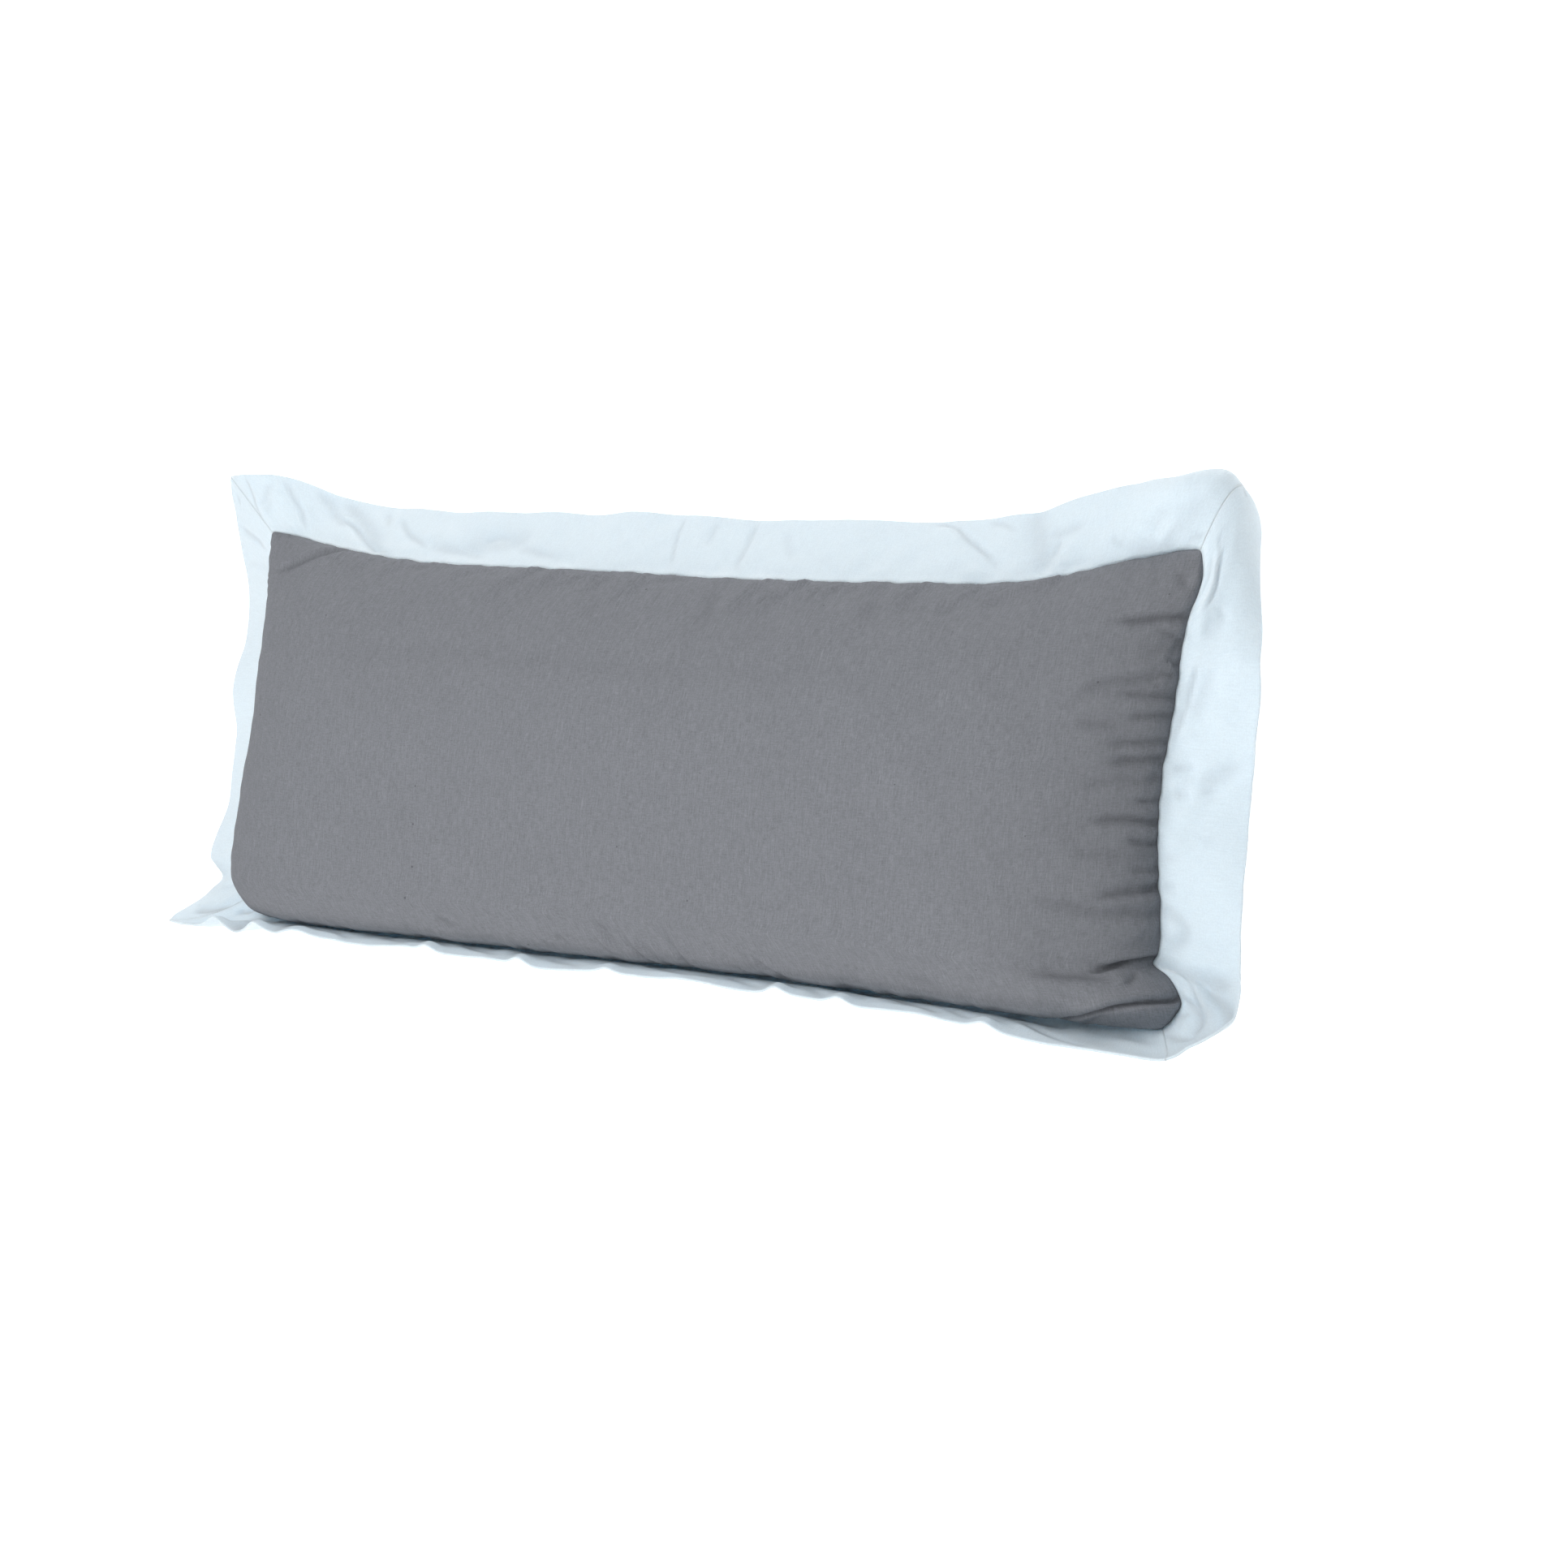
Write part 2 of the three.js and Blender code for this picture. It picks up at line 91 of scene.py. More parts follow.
# How far the seam's line is drawn in where it carries over to the free edge: along, and how far.
FREE_DRAWN = {
    "right": (
        (-167.5, -158, -152, -148, -140, -130, -122, -115, -105, -90, -75, -60, -20, 10, 45, 80, 110, 130, 150, 167.5),
        (0, 0.5, -3.5, -5.5, -6, -0.8, 5, 7, 8.3, 7.5, 8.8, 11.5, 15.8, 15.5, 12, 9.5, 6, 2, -2, 0),
    ),
}
# at: which corner; tip: from the seam's corner to the border's; bow: the mitre's bow; round: how far
# from the corner the seam starts to turn.
CORNERS = {
    "tl": dict(at=(-1, 1), tip=(-72, 51, -16), bow=(0, 0, 0), round=5),
    "tr": dict(at=(1, 1), tip=(15, 39.5, -40), bow=(12, 22, 20), round=4),
    "br": dict(at=(1, -1), tip=(30, -12, 66), bow=(3, -4, 0), round=6),
    "bl": dict(at=(-1, -1), tip=(-67, -20, 24), bow=(0, -7, 0), round=44),
}
MITRE_SMOOTH = {"tl": 3.0, "tr": 16.0, "br": 4.0, "bl": 4.0}  # over this much beside a mitre the cloth runs level
MITRE_DIP = {"tl": 0.25, "tr": 0.0, "br": 0.45, "bl": 0.2}  # how far each mitre's seam is drawn down
SCALLOP = dict(high=0.3, short=13.0, long=30.0)  # the stitching draws the seam in by this much, unevenly

# ---- creases --------------------------------------------------------------------
# (half width, ridge, trough, points...). The trough lies to the left of the line and the ridge to its
# right where both are given; a negative ridge lies to the left with the trough to the right.
# On the face the points are (along, across) on the flat panel, measured from its middle.
FACE_CREASES = [
    # short diagonals that run into the upper seam
    (4.5, 2.27, 2.46, (-355.3, 165.3), (-368.3, 157.4), (-390.9, 144.3), (-419.7, 132.6)),
    (3.4, 2.6, 0.92, (-338.5, 165.3), (-339.5, 159.2), (-342.7, 150.2)),
    (4, 1.79, 0.62, (-313.0, 166.4), (-311.6, 156.5), (-317.6, 145.7)),
    (3.8, 2.6, 0.77, (-275.5, 164.5), (-278.5, 156.3), (-286.7, 145.5)),
    (5, 2.27, 0.46, (-230.0, 163.8), (-251.8, 161.6), (-269.2, 158.2)),
    (4.5, 2.27, 0.62, (-181.1, 163.3), (-197.3, 159.1), (-207.5, 152.2), (-213.2, 143.3)),
    (3.6, 3.41, 1.31, (-136.4, 162.3), (-142.2, 154.6), (-149.2, 147.0), (-155.1, 136.6), (-161.7, 125.5)),
    (3.6, 3.41, 1.31, (-104.2, 164.8), (-109.8, 157.3), (-116.7, 150.2), (-122.7, 143.1), (-127.3, 135.2)),
    (3.4, 2.44, 0.77, (-81.7, 161.7), (-89.2, 156.4), (-96.6, 149.7), (-102.8, 140.6)),
    (3.4, 1.79, 0.62, (-69.5, 159.4), (-76.6, 156.0), (-83.1, 149.2)),
    (3.5, 3.41, 1.15, (-55.2, 165.7), (-57.7, 159.7), (-60.7, 153.6), (-63.7, 147.1), (-66.0, 139.3)),
    (3.8, 4.06, 1.62, (-23.7, 167.3), (-20.7, 157.7), (-23.6, 148.8), (-26.9, 137.9), (-30.6, 126.5)),
    (5, 2.44, 0.46, (18.2, 163.8), (4.1, 161.5), (-11.8, 158.7)),
    (9, 0, 1.65, (-46.9, 138.1), (-46.8, 129.2), (-50.9, 119.6)),
    (4, 1.62, 0.62, (52.2, 161.1), (55.2, 152.4), (59.7, 141.6)),
    (10, 0, 2.64, (50.7, 156.1), (58.4, 139.2), (64.9, 121.6), (65.6, 110.9)),
    (3.6, 3.58, 1.39, (89.6, 163.4), (86.9, 154.7), (84.0, 145.3), (81.6, 135.4), (81.0, 123.7)),
    (3.6, 3.58, 1.23, (122.0, 161.6), (115.2, 154.9), (108.2, 148.3), (103.0, 138.8), (98.3, 127.9)),
    (4.5, 2.27, 0.62, (144.1, 160.1), (133.5, 155.6), (122.3, 146.7), (116.7, 137.7)),
    (3.6, 2.27, 1, (157.3, 161.3), (149.6, 156.0), (146.3, 147.1), (145.5, 137.6)),
    (3.6, 2.44, 0.77, (179.2, 163.7), (169.0, 159.1), (162.2, 153.2), (157.5, 147.4)),
    (3.4, 1.79, 0.62, (195.8, 161.3), (186.4, 156.4), (178.3, 149.8)),
    (9, 0, 1.76, (199.6, 149.0), (200.5, 139.1), (200.9, 127.9)),
    (3.8, 4.06, 1.54, (229.4, 167.0), (226.2, 158.2), (220.6, 150.2), (217.0, 143.1), (213.2, 134.0)),
    (4.5, 2.27, 0.62, (269.9, 158.8), (264.5, 152.9), (263.9, 145.0)),
    (5, 3.58, 1, (330.3, 161.7), (314.5, 159.0), (302.0, 156.9), (291.9, 152.3), (285.2, 147.2), (281.4, 139.9)),
    (8, 0, 1.54, (268.9, 147.7), (263.8, 140.1), (261.5, 133.1)),
    # the upper right corner, and the long shallow crease across the face
    (4, 0, 1.4, (426.5, 151.5), (431.2, 143.6), (435.6, 136.8)),
    (12, 0, 1.0, (-392.5, 79.8), (-334, 84), (-282.4, 84.0), (-202.5, 87.5), (-115.9, 85.8), (-25.5, 85.1), (75.1, 85.7), (176.7, 87.4), (279.2, 88.3)),
    # gathers into the right seam
    (4, -0.7, 3.6, (399.7, 116.5), (412.0, 114.7), (424.3, 113.9), (433.0, 115.2), (440.2, 115.6)),
    (3.2, 0, 1.9, (427.5, 109.8), (434.4, 106.8), (441.0, 101.8)),
    (7, 0, 1.5, (421.4, 94.0), (432.3, 94.7), (439.8, 97.9)),
    (5.5, -1.1, 2.3, (383.3, 61.1), (389.6, 68.2), (396.6, 74.4), (406.7, 77.4), (424.2, 78.6), (440.8, 80.1)),
    (4, -1.2, 2.4, (411.9, 62.3), (421.6, 61.0), (432.3, 60.2), (440.3, 60.1)),
    (3.8, -0.8, 2.2, (420.0, 45.2), (430.5, 45.9), (440.0, 48.1)),
    (5, -1.3, 1.8, (390.5, 41.5), (404.5, 40.2), (416.4, 38.6), (424.0, 37.8)),
    (4, -1.0, 2.4, (410.4, 26.3), (422.4, 27.0), (432.6, 28.1), (440.8, 29.5)),
    (4.6, -0.9, 2.9, (416.7, 13.6), (429.0, 14.7), (441.2, 17.6)),
    (5.5, -0.7, 1.6, (402.8, -7.2), (410.3, -1.5), (420.1, 0.0), (440.0, 2.1)),
    (3.4, -0.7, 1.6, (431.6, -13.2), (440.8, -11.5)),
    (4.2, -1.7, 3.1, (409.4, -28.7), (417.9, -27.0), (426.4, -26.3), (435.3, -26.8), (441.0, -27.9)),
    (3.6, -0.9, 2.1, (428.4, -40.2), (440.7, -40.8)),
    (5, -0.7, 1.3, (394.8, -49.9), (408.3, -50.6), (421.7, -51.5), (440.5, -49.2)),
    (3.8, -0.7, 1.7, (427.9, -59.0), (440.8, -59.8)),
    (4.2, -1.2, 3.3, (409.6, -79.8), (418.4, -77.9), (426.9, -76.0), (440.6, -73.2)),
    (6, -1.4, 2.3, (371.7, -85.7), (388.3, -86.9), (402.9, -88.3), (415.3, -90.6), (429.4, -91.2), (440.6, -91.5)),
    (8, 0, 1.4, (427.8, -111.9), (436.5, -108.4), (441.4, -106.4)),
    # the lower right corner, tucked under in three folds: a roll above each narrow slit
    (1.9, 0, 4.6, (407.6, -126.1), (415.5, -124.9), (422.8, -123.3), (431.9, -119.7), (437.4, -118.4), (441.0, -118.3)),
    (4.2, 1.3, 0, (409, -121.6), (415.5, -120.4), (422.8, -118.8), (431.9, -115.2), (437.4, -113.8), (441.0, -113.6)),
    (4.5, -1.2, 3.2, (363.4, -134.8), (382.9, -132.6), (404.5, -131.8), (414.6, -132.3), (421.2, -130.2)),
    (3.2, 0, 2.4, (421.2, -134.0), (425.6, -131.0), (431.5, -127.2), (435.1, -124.4)),
    (1.9, 0, 5.0, (364.0, -166.0), (374.0, -163.5), (383.2, -160.1), (396.2, -153.8), (405.5, -149.7), (415.0, -146.9), (424.4, -144.5), (432.8, -143.3), (438.1, -143.2), (441.2, -144.9)),
    (4.5, 2.2, 0, (372.0, -157.5), (383.2, -154.1), (396.2, -147.8), (405.5, -143.8), (415.0, -141.1), (424.4, -138.8), (432.8, -137.6), (440.5, -138.0)),
    (4, 0, 1.6, (396.6, -160.0), (403.9, -154.8), (409.3, -153.1)),
    # diagonals above the lower seam
    (3.4, 1.56, 0.86, (-56.1, -144.1), (-50.7, -149.7), (-45.3, -153.3)),
    (3.4, 2.34, 1.08, (-37.1, -136.9), (-33.2, -142.6), (-30.2, -149.4), (-28.6, -155.8)),
    (3.4, 3.71, 1.08, (-2.3, -135.6), (1.8, -143.1), (5.6, -149.6), (11.1, -154.3), (16.5, -157.1)),
    (4, 0, 1.4, (7.3, -125.4), (11.9, -133.7), (14.7, -143.1), (17.8, -150.9)),
    (3.4, 3.9, 2.05, (30.0, -133.6), (32.2, -140.6), (33.2, -147.3), (36.0, -154.1), (41.0, -159.5)),
    (3.2, 2.34, 0.86, (44.7, -129.8), (46.2, -138.5), (47.5, -146.0), (49.5, -153.8), (53.3, -161.6)),
    (3.6, 3.9, 2.16, (73.3, -126.1), (72.6, -133.2), (72.9, -143.3), (74.7, -152.2), (78.5, -160.3), (86, -166)),
    (3.2, 1.76, 0.86, (86.1, -149.8), (88.4, -157.0), (92.5, -163.7)),
    (3.8, 3.31, 2.05, (140.0, -143.1), (145.3, -147.6), (151.5, -152.6), (162.7, -158.4)),
    (2.2, 0, 1.3, (116.2, -151.1), (119.8, -156.5), (124.8, -160.1)),
    (5, 0.98, 1.73, (-151.8, -132.3), (-146.6, -137.8), (-136.2, -142.3)),
    (6, 0, 1.51, (265.5, -145.8), (281.5, -146.6), (290.0, -154.3)),
]
# On a strip the points are (along the side, distance from the seam). The first rows are the CAD's own folds.
STRIP_CREASES = {
    "bottom": [
        (4, 0, 3.0, (-419, 6), (-426, 11), (-433, 16)), (7, 6, 0, (-396, 36), (-396, 76)), (8, 0, 4.5, (-377, 40), (-377, 76)), (7, 6.5, 0, (-359, 47), (-359, 76)),
        (8, 0, 2.5, (-340, 44), (-340, 76)), (12, 2.5, 0, (-318, 56), (-318, 76)), (9, 4.5, 0, (-176, 56), (-176, 76)),
        (9, 5.5, 0, (-82, 58), (-82, 76)), (9, 3.5, 0, (5, 55), (5, 76)), (9, 5.5, 0, (159, 58), (159, 76)),
        (10, 5.5, 0, (213, 59), (213, 76)), (9, 5.5, 0, (331, 58), (331, 76)), (24, 0, 2, (385, 46), (385, 76)),
        (4, 0.9, 1.1, (-306, 46), (-262, 60)), (4.5, 0, 1.3, (-240, 42), (-196, 57)), (5, 0.9, 1.3, (-158, 44), (-104, 60)),
        (4, 0, 1.2, (-66, 44), (-20, 58)), (5, 1, 1.3, (24, 42), (84, 60)), (4, 0, 1.3, (104, 44), (146, 58)),
        (4.5, 0.8, 1.2, (176, 42), (204, 56)), (5, 1.1, 1.5, (228, 40), (300, 60)), (4, 0, 1.3, (292, 44), (322, 56)),
        (5, 1, 1.4, (346, 42), (398, 60)),
    ],
    "top": [
        (9, 0, 4, (-322, 8), (-366, 52)), (15, 0, 4, (-222, 22), (-176, 30)), (10, 3, 0, (268, 6), (228, 48)),
        (12, 0, 4, (318, 14), (300, 56)),
        (1.6, 0.7, 0.9, (-426.5, 62), (-429, 50.3), (-431.7, 39), (-434.8, 32.1), (-440, 13.6), (-441, 4.7)),
        (4, 0, 1.2, (-412, 55), (-425, 35), (-434, 30)),
        (4, 0, 0.8, (-417, 40), (-432, 19)),
        (3, 0.9, 1.3, (-401.7, 58.8), (-399.9, 41.9), (-396.2, 28.1), (-395.6, 15.1), (-396, 6.2)),
        (7, 0, 2.6, (-388, 59), (-380, 48), (-372, 35), (-362, 22)),
        (3.4, 1.2, 2.4, (-373, 41), (-363, 35), (-354, 30), (-338, 18), (-319, 9), (-294, 3)),
        (3, 0, 0.8, (-370.4, 43.1), (-360.1, 41.9)),
        (4, 1.0, 1.2, (-334, 55), (-323, 37)),
        (4, 0.6, 1.8, (-317, 49), (-297, 32), (-279, 24), (-266, 17)),
        (7, 0, 2.4, (-268, 18), (-228, 15), (-195, 8)),
        (6, 0, 1.8, (-216, 28), (-199, 34), (-181, 29)),
        (6, 0, 1.8, (-174, 21), (-150, 16), (-117, 10)),
        (2.6, 0.5, 1.2, (-16.4, 60.3), (-15.4, 48.4), (-12.9, 32.5), (-8.6, 16.7), (-4.6, 6.4)),
        (4, 0.6, 1.6, (52.7, 60.3), (53.9, 42.1), (54.9, 23.8), (55.2, 13.5), (62.4, 4.8)),
        (4.5, 0, 1.0, (13.9, 57.9), (14.9, 46.8), (16.9, 28.6)),
        (6, 0, 1.2, (82.5, 49.2), (91, 33.3), (102.5, 17.5)),
        (3.2, -1.3, 1.9, (209, 59), (229, 52), (247, 38), (268, 23), (281, 10)),
        (3.5, 0, 1.1, (259, 58), (273, 54), (288, 44)),
        (6, 0, 1.8, (314, 41), (326, 36), (340, 37), (349, 40)),
        (6, 0, 2.2, (322, 17), (325, 27), (330, 30)),
        (6, 1.4, 0, (337, 6), (333, 15), (337, 23), (349, 23)),
        (3, 0, 0.9, (368.5, 17.7), (374.6, 12.7), (380.5, 7.8)),
        (6, 1.3, 0, (365, 31), (374, 26), (385, 16), (391, 7)),
        (9, 0, 1.7, (396, 15), (401, 19), (404, 24)),
        (9, 0, 1.4, (422, 12), (426, 17)),
        (3.5, 0, 1.3, (388, 4), (406, 3), (428, 3)),
        (8, 1.2, 0, (406, 7), (418, 7), (436, 8)),
        (2.5, 0, 1.0, (428.4, 2.6), (432.3, 4.1), (440, 4.1)),
        # a faint line beside the upper right mitre: a shallow trough, drawn mostly by its painted shade
        (1.6, 0, 1.3, (435, 58), (438, 53), (440.5, 46)),
    ],
    "right": [
        (12, 0, 4, (-126, 8), (-150, 48)), (6, 2.4, 0, (150, 12), (108, 14)),
        # the second: the same faint line beside the upper right mitre, mostly painted shade
        (2.5, 0, 0.9, (156.2, 13.7), (141.8, 15.2)), (1.6, 0, 1.1, (160, 41), (166, 45)),
        (2.6, 1.6, 0, (146.8, 12.4), (137.8, 14.8), (128.1, 16.3), (122.4, 13.6), (116.6, 5.3)),
        (2.4, 0, 1.1, (153.3, 5.4), (136.6, 8.7), (130.1, 7), (125.2, 4.5)),
        (2.6, 0, 1.2, (137.8, 17.5), (126, 20.1), (118.6, 18.5), (112.9, 11)),
        (7, 0, 2.0, (111, 31), (106, 28), (102, 23), (104, 13)),
        (2.8, 0, 1.3, (86.4, 13.8), (74.8, 11.3), (54.2, 8.4), (39.9, 5.7), (30.1, 4.2)),
        (3, 0.9, 0, (86.3, 9.7), (73.1, 7.4), (54.1, 4.8)),
        (8, 0, 1.9, (81, 23), (73, 23), (56, 16), (51, 11)),
        (4.5, 0, 1.7, (14, 7), (16, 24)),
        (4, 1.0, 0, (2, 7), (8, 19)),
        (5, 0, 1.8, (-5, 11), (-3, 22)),
        (8, 0, 1.9, (-7, 35), (6, 35), (11, 42), (18, 53), (23, 58)),
        (7, 0, 0.9, (-28, 36), (-39, 37)),
        (4, 0, 0.8, (-49, 5), (-47, 19)),
        (5, 0, 1.3, (-69, 5), (-68, 15)),
        (6.5, 0, 2.8, (-86, 1), (-87, 12), (-93, 18), (-100, 18), (-107, 12), (-114, 4)),
        (7, 1.4, 0, (-92, 4), (-95, 9), (-101, 9), (-106, 4)),
        (7, 1.2, 4.6, (-118, 3), (-119.5, 16), (-119, 29), (-118, 43), (-118, 59)),
        (5, 2.6, 0, (-124, 5), (-131, 10), (-139, 9), (-147, 6)),
        (7, 4.4, 0, (-121, 13), (-128, 21), (-136, 28), (-143, 39), (-151, 57)),
        (7, 0, 5.5, (-127, 24), (-131, 36), (-136, 48), (-142, 58), (-146, 63)),
        (5, 0, 3.0, (-143, 3), (-144, 15), (-148, 29), (-154, 43)),
        (3, 0, 0.9, (-155.6, 3), (-148.7, 14)),
        (3.5, 1.0, 2.2, (-166, 7), (-157, 30), (-150, 46)),
    ],
    "left": [
        (4, 0, 1.2, (160, 54), (158, 48)),
        (2.8, 0.6, 1.5, (142.5, 55.1), (145.3, 31.8), (148.4, 7.2)),
        (4, 0, 0.6, (119, 53), (131, 8)),
        (3, 0, 0.5, (-138, 37.3), (-144.4, 8.4)),
        (5, 1.4, 5.0, (-152, 48), (-157, 37), (-162, 25), (-166.5, 13)),
    ],
}
BACK_GATHERS = dict(count=74, half=(4.0, 8.0), deep=(0.8, 2.6), reach=(16.0, 48.0))

BODY_CELLS = (416, 168)  # the back has half as many each way
BODY_GATHER = 0.5
STRIP_ACROSS = 34
STRIP_STEP, STRIP_FINE, STRIP_FINE_OVER = 2.5, 1.25, 95.0


# ---- helpers ----------------------------------------------------------------------
def clamp01(t):
    return np.clip(t, 0.0, 1.0)


def ease(t):
    t = clamp01(t)
    return t * t * (3 - 2 * t)


def unit(v):
    return v / np.maximum(np.linalg.norm(v, axis=-1, keepdims=True), 1e-12)


def bumps(u, v, short, long, seed, count=48):
    """A smooth random surface with waves between these lengths, about 1 high."""
    rng = np.random.default_rng(seed)
    length = np.exp(rng.uniform(math.log(short), math.log(long), count))
    turn = rng.uniform(0, 2 * math.pi, count)
    start = rng.uniform(0, 2 * math.pi, count)
    total = np.zeros(np.broadcast(u, v).shape)
    for k in range(count):
        total += np.cos(2 * math.pi / length[k] * (u * math.cos(turn[k]) + v * math.sin(turn[k])) + start[k])
    return total / math.sqrt(count / 2)


def section(name, column, at):
    """A smooth curve through one column of a side's table, with no overshoot between its rows."""
    rows = np.array(ROWS[name], float)
    x, y = rows[:, 0], rows[:, column]
    h = np.diff(x)
    g = np.diff(y) / h
    m = np.empty_like(y)
    m[0], m[-1] = g[0], g[-1]
    a, b = g[:-1], g[1:]
    same = a * b > 0
    m[1:-1] = np.where(same, 2 * a * b / np.where(same, a + b, 1), 0)
    at = np.asarray(at, float)
    i = np.clip(np.searchsorted(x, at, side="right") - 1, 0, len(x) - 2)
    t = clamp01((at - x[i]) / h[i])
    return (
        (2 * t**3 - 3 * t**2 + 1) * y[i]
        + (t**3 - 2 * t**2 + t) * h[i] * m[i]
        + (-2 * t**3 + 3 * t**2) * y[i + 1]
        + (t**3 - t**2) * h[i] * m[i + 1]
    )


# ---- the seam and the border, as in the CAD source, with a smooth seam --------------
def corner_point(corner):
    c = CORNERS[corner]
    return np.array([c["at"][0] * (HALF_LENGTH - c["round"] / 4), c["at"][1] * (HALF_WIDTH - c["round"] / 4), 0.0])


SIDE_SEED = {"top": 11, "bottom": 12, "right": 13, "left": 14}


def seam(name, at, scalloped=1.0, freed=0.0):
    s = SIDES[name]
    at = np.asarray(at, float)
    drawn = section(name, 1, at)
    if name in FREE_DRAWN:
        drawn = drawn + (np.interp(at, *FREE_DRAWN[name]) - drawn) * freed
    free = ease((s["half"] - np.abs(at)) / 30 - 0.4)
    pulled = SCALLOP["high"] * scalloped * free * bumps(at, 0 * at, SCALLOP["short"], SCALLOP["long"], SIDE_SEED[name], 24)
    reach = s["off"] - drawn + pulled
    x = s["along"][0] * at + s["out"][0] * reach
    y = s["along"][1] * at + s["out"][1] * reach
    for k, corner in enumerate(s["ends"]):
        c = CORNERS[corner]
        d = s["half"] - (-1 if k == 0 else 1) * at
        w = clamp01(1 - d / c["round"]) ** 2 * c["round"] / 4
        x = x - c["at"][0] * w
        y = y - c["at"][1] * w
    return np.stack([x, y, np.zeros_like(x)], -1)


def bent(name, at, t, steps=24):
    """A strip's cross-section: fixed width, its lean turning from root to tip."""
    s = SIDES[name]
    at, t = np.broadcast_arrays(np.asarray(at, float), np.asarray(t, float))
    root, tip = np.radians(section(name, 2, at)), np.radians(section(name, 3, at))
    curl = np.radians(CURL.get(name, 0)) * ease((s["half"] - np.abs(at)) / FAN)
    reach, rise = np.zeros_like(at), np.zeros_like(at)
    for k in range(steps):
        part = (k + 0.5) / steps * t
        lean = root + (tip - root) * ease(part / s["turn"]) - curl * ease((part - 0.4) / 0.6)
        reach = reach + np.cos(lean) * t * FLANGE / steps
        rise = rise + np.sin(lean) * t * FLANGE / steps
    slip = np.zeros_like(at)
    for k, corner in enumerate(s["ends"]):
        share = clamp01(((-1 if k == 0 else 1) * at - (s["half"] - FAN)) / FAN) ** 1.5
        tip_along = CORNERS[corner]["tip"][0] * s["along"][0] + CORNERS[corner]["tip"][1] * s["along"][1]
        slip = slip + tip_along * t * share
    p = seam(name, at, 1 - ease(t * 2.5), ease(t * 1.4))
    p[..., 0] += s["along"][0] * slip + s["out"][0] * reach
    p[..., 1] += s["along"][1] * slip + s["out"][1] * reach
    p[..., 2] += rise
    return p


def mitre(corner, t):
    c = CORNERS[corner]
    t = np.asarray(t, float)[..., None]
    start = corner_point(corner)
    end = np.array([c["at"][0] * HALF_LENGTH, c["at"][1] * HALF_WIDTH, 0.0]) + np.array(c["tip"], float)
    return start + (end - start) * t + np.array(c["bow"], float) * 4 * t * (1 - t)


def middle(name, at, t):
    s = SIDES[name]
    at, t = np.broadcast_arrays(np.asarray(at, float), np.asarray(t, float))
    p = bent(name, at, t)
    for k, corner in enumerate(s["ends"]):
        towards = -1 if k == 0 else 1
        w = ease(1 - (s["half"] - towards * at) / MEET)
        if np.any(w > 0):
            p = p + w[..., None] * (mitre(corner, t) - bent(name, np.full_like(at, towards * s["half"]), t))
    return p


def hand(name):
    s = SIDES[name]
    return float(np.sign(s["along"][0] * s["out"][1] - s["along"][1] * s["out"][0]))


def slope_normal(name, at, t):
    s = SIDES[name]
    at, t = np.broadcast_arrays(np.asarray(at, float), np.asarray(t, float))
    a = np.clip(at, -s["half"] + 1, s["half"] - 1)
    r = np.clip(t, 0.04, 0.96)
    along = middle(name, a + 1, r) - middle(name, a - 1, r)
    across = middle(name, a, r + 0.04) - middle(name, a, r - 0.04)
    return unit(np.cross(along, across) * hand(name))


def normal_of(name, at, t):
    """The strip's own slope, eased at a mitre into the one it shares with its neighbour."""
    s = SIDES[name]
    at, t = np.broadcast_arrays(np.asarray(at, float), np.asarray(t, float))
    n = slope_normal(name, at, t)
    for k, corner in enumerate(s["ends"]):
        towards = -1 if k == 0 else 1
        w = ease(1 - (s["half"] - towards * at) / SQUARE)
        if not np.any(w > 0):
            continue
        other = next(o for o in SIDES if o != name and corner in SIDES[o]["ends"])
        end = -1 if SIDES[other]["ends"][0] == corner else 1
        shared = unit(
            slope_normal(name, np.full_like(at, towards * s["half"]), t)
            + slope_normal(other, np.full_like(at, end * SIDES[other]["half"]), t)
        )
        n = unit(n + (shared - n) * w[..., None])
    return n


# ---- the filled body, as in the CAD source -------------------------------------------
def panel(x, y):
    u, v = (x + 1) / 2, (y + 1) / 2
    p = (
        seam("bottom", x * HALF_LENGTH) * (1 - v)[..., None]
        + seam("top", x * HALF_LENGTH) * v[..., None]
        + seam("left", y * HALF_WIDTH) * (1 - u)[..., None]
        + seam("right", y * HALF_WIDTH) * u[..., None]
    )
    p = p - ((1 - u) * (1 - v))[..., None] * corner_point("bl") - (u * (1 - v))[..., None] * corner_point("br")
    return p - ((1 - u) * v)[..., None] * corner_point("tl") - (u * v)[..., None] * corner_point("tr")


def fullness(x, y):
    fall = np.where(x > 0, END_FALL_RIGHT, END_FALL_LEFT) + END_TILT * y
    q = clamp01(1 - (1 - np.abs(x)) * HALF_LENGTH / fall)
    end = (1 - q**END_POWER) ** END_RISE
    side = np.where(y > 0, (1 - np.abs(y) ** UPPER_POWER) ** UPPER_RISE, (1 - np.abs(y) ** LOWER_POWER) ** LOWER_RISE)
    corner = np.hypot((x + 1) * HALF_LENGTH, (y + 1) * HALF_WIDTH)
    return end * (1 - SLIM_CORNER * np.exp(-((corner / SLIM_OVER) ** 2))), side


def face(x, y):
    end, side = fullness(x, y)
    p = panel(x, y)
    p[..., 1] -= np.where(y < 0, SAG * np.sqrt(end) * 2 * side * np.sqrt(np.maximum(0, 1 - side * side)), 0)
    p[..., 2] = RIM / 2 + CROWN * end * side
    return p


def back(x, y):
    end, side = fullness(x, y)
    p = panel(x, y)
    p[..., 2] = -RIM / 2 - BACK * (1 - clamp01(1 - REST_SHARE * end * side) ** REST_ROUND)
    return p


